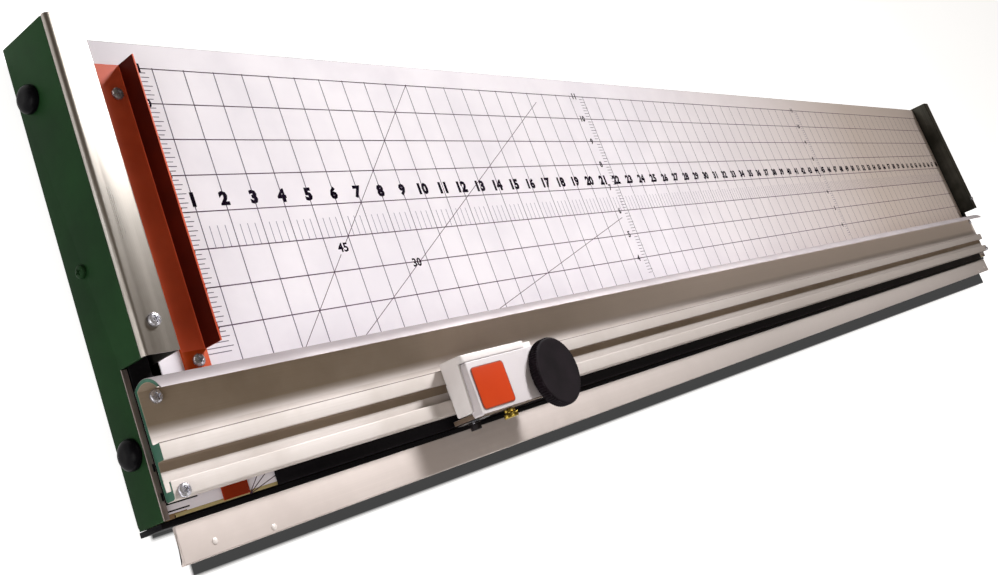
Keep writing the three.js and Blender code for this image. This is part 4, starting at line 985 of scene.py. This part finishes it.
# The carriage is a base with a cheek, a keel below and a wall behind it. The block is a plate with two wide
# noses over a stepped wall, and the label's rim shows round its film.
def makeHead():
    k = named(carriage)
    high, toe = k.baseTop - k.rootDepth, k.keelFront - k.footReach
    keel = [(k.keelFront, high), (k.keelFront, k.footTop), (toe, k.footTop), (toe, k.keelLow),
            (k.keelBack, k.keelLow), (k.keelBack, high)]
    base = rectangle(k.front, k.back, k.under, k.baseTop)
    cheek = base[:2] + [(k.back, k.top), (k.front, k.frontTop)]
    wallFace = rectangle(k.wallStart, k.wallLength, high, k.wallTop)
    shapes = [prism(cheek, [1.2, 1.2, 1.6, 2.2], (0, k.cheek), "x", 0.5),
              prism(base, 0.6, (k.cheek - k.lap, k.length), "x", 0.5),
              prism(keel, 0.4, (k.keelInset, k.length - k.keelInset), "x"),
              prism(wallFace, [0.5, 0.5, 1.2, 4], (k.back - k.wall, k.back), "y", 0.9)]
    addPiece("slideCarriage", [shifted(s) for s in shapes], ["carriagePaint"], "carriage")
    b = named(block)
    x0, x1 = b.start, b.start + b.length
    plan = roundCorners(rectangle(x0, x1, 0, b.depth), [b.corner, b.nose, b.nose, b.corner], 12)
    # The plate's front edge and the stepped wall below it take the darker brown of painted shade.
    front = plan[0][:, 1] < 0.3
    plate = carry(*plan, (b.low, b.top), "z", 0.8, edgeKinds=(front & np.roll(front, -1)).astype(int))
    hx, wx, top = x0 + b.holder, x0 + b.wallLength, b.low + b.lap
    face = [(x0, b.holderLow), (hx, b.holderLow), (hx, b.wallLow), (wx, b.wallLow), (wx, top), (x0, top)]
    wall = prism(face, [1.2, 1.2, 1, 1, 0.2, 0.2], (b.wallFront, b.wall), "y")
    addPiece("bladeBlock", [shifted(plate), shifted(finishedIn(wall, 1))], ["headPaint", "frontShadePaint"],
             "blade_head")
    t = named(label)
    lx, ly = b.start + t.inset, t.frontInset

    def patch(inset, low, high):
        corners = rectangle(lx + inset, lx + t.length - inset, ly + inset, ly + t.depth - inset)
        return prism(corners, t.corner - inset, (low, high), "z", 0.08, 8)

    film = patch(t.rim, t.low + t.filmLow, t.low + t.sheet)
    rim = patch(0, t.low, t.low + t.sheet - t.rimDrop)
    addPiece("labelPlate", [shifted(film), shifted(finishedIn(rim, 1))], ["labelFilm", "labelEdge"],
             "blade_head")
    s = named(springs)
    for at, name in zip(s.places, ("left", "right")):
        wire = coil(at, s.radius, s.wire, s.low, s.high, s.turns)
        addPiece(name + "ReturnSpring", [shifted(wire)], ["steel"], "blade_head")


# Knob: a disc with fine ridges round its side that run out into a rounded rim, and a slightly dished top.
knob = {"radius": 27, "height": 8, "at": (98, 14.8), "low": 33.5, "ridges": 74, "ridge": 0.8, "round": 2.0,
        "dish": 0.5, "foot": ((1.2, 0), (0.3, 0.3), (0, 1.0), (0, 1.8))}
thumb = {"at": 39.4, "z": 28, "shank": 2, "depth": 12, "start": -0.6, "ridges": 30, "ridge": 0.3,
         "collar": 4.1, "waist": 3.0, "head": 5.5, "collarEnd": 2.3, "waistEnd": 3.1, "headEnd": 6.6}
blade = {"at": (15.3, -0.3, 12.9), "radius": 12.5, "sheet": 0.6, "bevel": 1.6, "bore": 2.8, "washer": 5,
         "washerSheet": 0.8, "washerY": -1.2, "axle": 2.5, "axleStart": 3.2, "axleEnd": -5.2, "nut": 4.2,
         "nutHeight": 4.6, "nutY": -2.3}


# The knob's top dips by a parabola, and its ridges run out over the rounded rim. The screw, the blade, the
# washer and the axle are turned about y, and the nut is a hexagon carried along it.
def makeControls():
    k = named(knob)
    r, h, q = k.radius, k.height, k.round
    turn = np.linspace(0, np.pi / 2, 9)
    top = np.stack([r - q + q * np.cos(turn), h - q + q * np.sin(turn)], -1)
    flat = np.linspace(r - q - 1.5, 0, 8)
    dished = np.stack([flat, h - k.dish * (1 - (flat / (r - q)) ** 2)], -1)
    side = np.array([[0, 0]] + [[r - inset, z] for inset, z in k.foot])
    profile = np.concatenate([side, top, dished])
    depth = np.concatenate([[0, 0, 0.4, 1, 1], np.clip(1.15 - turn / 1.2, 0, 1), np.zeros(8)]) * k.ridge
    rubbed = np.concatenate([[0, 0, 0, 0.5, 0.2], np.sin(2 * turn) * 0.8 + 0.1, np.zeros(8)])
    knobShape = spin(profile, "z", (*k.at, k.low), k.ridges * 6, k.ridges, depth, worn=rubbed[1:-1])
    addPiece("gripKnob", [shifted(knobShape)], ["knobPlastic"], "knob", sharpAbove=60)
    t = named(thumb)
    c, w, e = t.collarEnd, t.waistEnd, t.headEnd
    corners = [(0, -t.depth), (t.shank, -t.depth), (t.shank, 0), (t.collar, 0), (t.collar, c), (t.waist, c),
               (t.waist, w), (t.head, w), (t.head, e), (0, e)]
    section = roundSection(corners, [0, 0.4, 0.05, 0.4, 0.4, 0.15, 0.15, 0.5, 0.7, 0], 3)
    ridged = np.clip((section[:, 0] - t.waist - 0.4) / 0.6, 0, 1) * t.ridge
    thumbShape = spin(section, "-y", (t.at, t.start, t.z), t.ridges * 6, t.ridges, ridged)
    addPiece("thumbScrew", [shifted(thumbShape)], ["brass"], "thumb_screw")
    b = named(blade)
    x, y, z = b.at
    flat = b.radius - b.bevel
    lens = [(b.bore, 0), (flat, 0), (b.radius, b.sheet / 2), (flat, b.sheet), (b.bore, b.sheet)]
    disc = shifted(spin(lens, "-y", (x, y, z), 128, loop=True))
    addPiece("rotaryBlade", [disc], ["bladeSteel"], "blade", sharpAbove=12)
    ring = roundCorners(rectangle(b.bore, b.washer, 0, b.washerSheet), 0.15, 2)[0]
    washer = shifted(spin(ring, "-y", (x, b.washerY, z), 64, loop=True))
    addPiece("bladeWasher", [washer], ["blackOxide"], "blade")
    length = b.axleStart - b.axleEnd
    pin = roundSection(rectangle(0, b.axle, 0, length), [0, 0.4, 0.5, 0], 3)
    axle = shifted(spin(pin, "-y", (x, b.axleStart, z), 48))
    addPiece("bladeAxle", [axle], ["steel"], "blade_head")
    angle = np.radians(np.arange(6) * 60)
    hexagon = np.stack([x + b.nut * np.cos(angle), z + b.nut * np.sin(angle)], -1)
    nut = prism(hexagon, 0.5, (b.nutY - b.nutHeight, b.nutY), "y", 0.45, 3)
    addPiece("axleNut", [shifted(nut)], ["blackOxide"], "blade_head")


# CAD solids whose own shape is right only get their finish.
plainNodes = {"left_pivot_pin": "steel", "right_pivot_pin": "steel", "left_pivot_bush": "brass",
              "right_pivot_bush": "brass", "front_glide_strip": "nylon", "rear_glide_strip": "nylon",
              "left_guide_pin": "steel", "right_guide_pin": "steel", "left_guide_bush": "brass",
              "right_guide_bush": "brass", "knob_stud": "steel", "knob_insert": "brass"}


# Such a solid's material is changed for its finish.
def dressNodes():
    for name, finish in plainNodes.items():
        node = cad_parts[name]
        node.data.materials.clear()
        node.data.materials.append(materials[finish])


# Floor and light: a wide pale floor under the feet, a large soft lamp behind to the right and three before.
studio = {"floor": (236, 236, 236), "world": 0.14, "worldColour": (1.0, 0.82, 0.62), "glow": 0.8,
          "span": 40000.0, "deep": 20}
# Where the painted shadow on the floor lies, in trimmer millimetres, and how low the floor's glow falls
# inside it.
shade = {"left": (-905, -886), "right": 935, "frontLeft": -6, "front": -33, "slant": 0.0061,
         "slantFrom": -850, "rearInset": 20, "soft": 1.2, "glow": 0.058}
lamps = [{"at": (2.89, 3.08, 3.23), "to": (-5.5, -8, 0.03), "size": 1.1, "spread": 56, "power": 235},
         {"at": (-2.6, -0.6, 0.7), "to": (-0.7, 0, 0), "size": 1.2, "spread": 180, "power": 17},
         {"at": (-1.4, -1.3, 1.3), "to": (-0.7, 0, 0), "size": 1.6, "spread": 180, "power": 3},
         {"at": (1.1, -1.3, 1.3), "to": (0.4, 0, 0), "size": 1.6, "spread": 180, "power": 9}]


# A painted shadow: the dark strip of floor that shows past the trimmer's front, as a mask of soft edges in
# millimetres.
def shadeMask(tree, spot):
    s = named(shade)
    metres = addNode(tree, "SeparateXYZ", None, Vector=spot).outputs
    x = times(tree, metres[0], 1000.0)
    y = calc(tree, "MULTIPLY_ADD", metres[1], 1000.0, -trimmer["cutLine"])

    def above(value, edge):
        return ramp(tree, calc(tree, "SUBTRACT", value, edge), -s.soft, s.soft)

    edge = calc(tree, "MULTIPLY_ADD", x, -s.slant, s.front + s.slantFrom * s.slant)
    main = times(tree, above(x, s.left[1]), above(y, edge))
    corner = times(tree, above(x, s.left[0]), above(y, s.frontLeft))
    before = calc(tree, "SUBTRACT", 1.0, above(x, s.right))
    behind = calc(tree, "SUBTRACT", 1.0, above(y, trimmer["rear"] - s.rearInset))
    return times(tree, calc(tree, "MAXIMUM", main, corner), times(tree, before, behind))


# The floor glows only where the camera or a reflection sees it, so the lamps and the world give all the
# light; inside the painted shadow strip its colour turns black and its glow drops low.
def makeStudio():
    span, ground = studio["span"], -trimmer["boardTop"]
    floor = bars([[-span, -span, ground - studio["deep"]]], [[span, span, ground]])
    mesh = bpy.data.meshes.new("floor")
    mesh.from_pydata(toRow(floor["points"]).tolist(), [], floor["faces"])
    piece = place("floor", mesh)
    material = bpy.data.materials.new("paleFloor")
    material.use_nodes = True
    tree = material.node_tree
    tree.nodes.clear()
    rays = addNode(tree, "LightPath").outputs
    mirrored = calc(tree, "MAXIMUM", rays["Is Glossy Ray"], rays["Is Transmission Ray"])
    seen = calc(tree, "MAXIMUM", rays["Is Camera Ray"], mirrored)
    spot, pale = spotOf(tree), studio["floor"]
    shaded = shadeMask(tree, spot)
    colour = mixColour(tree, noise(tree, spot, 3.0, 4.0), linear(pale), linear([c - 3 for c in pale]))
    colour = mixColour(tree, shaded, colour, (0, 0, 0, 1))
    shader = addNode(tree, "BsdfPrincipled", None, Base_Color=colour, Roughness=0.8, Specular_IOR_Level=0.0)
    level = addNode(tree, "Mix", None, _0=shaded, _2=studio["glow"], _3=shade["glow"]).outputs[0]
    glow = addNode(tree, "Emission", None, Color=(1, 1, 1, 1), Strength=times(tree, seen, level))
    both = addNode(tree, "AddShader", None, _0=shader.outputs[0], _1=glow.outputs[0])
    tree.links.new(both.outputs[0], addNode(tree, "OutputMaterial").inputs[0])
    mesh.materials.append(material)
    for i, plan in enumerate(lamps):
        lamp = bpy.data.lights.new(f"softLamp{i}", "AREA")
        lamp.size, lamp.spread, lamp.energy = plan["size"], np.radians(plan["spread"]), plan["power"]
        holder = place(f"softLamp{i}", lamp)
        holder.location = plan["at"]
        holder.rotation_euler = (Vector(plan["to"]) - Vector(plan["at"])).to_track_quat("-Z", "Y").to_euler()
    world = bpy.data.worlds.new("studioWorld")
    world.use_nodes = True
    inputs = world.node_tree.nodes["Background"].inputs
    inputs["Color"].default_value = (*studio["worldColour"], 1)
    inputs["Strength"].default_value = studio["world"]
    bpy.context.scene.world = world
    bpy.context.scene.view_settings.view_transform = "Standard"


makeCamera()
makeStudio()
print("camera and studio made")
makeBoard()
makeRuling()
print("board ruled")
makeFront()
makeEnd(-1, "left")
makeEnd(1, "right")
makeFeet()
makeGuide()
print("base made")
makeRail()
print("rail made")
makeHead()
makeControls()
dressNodes()
print("cutter head made")
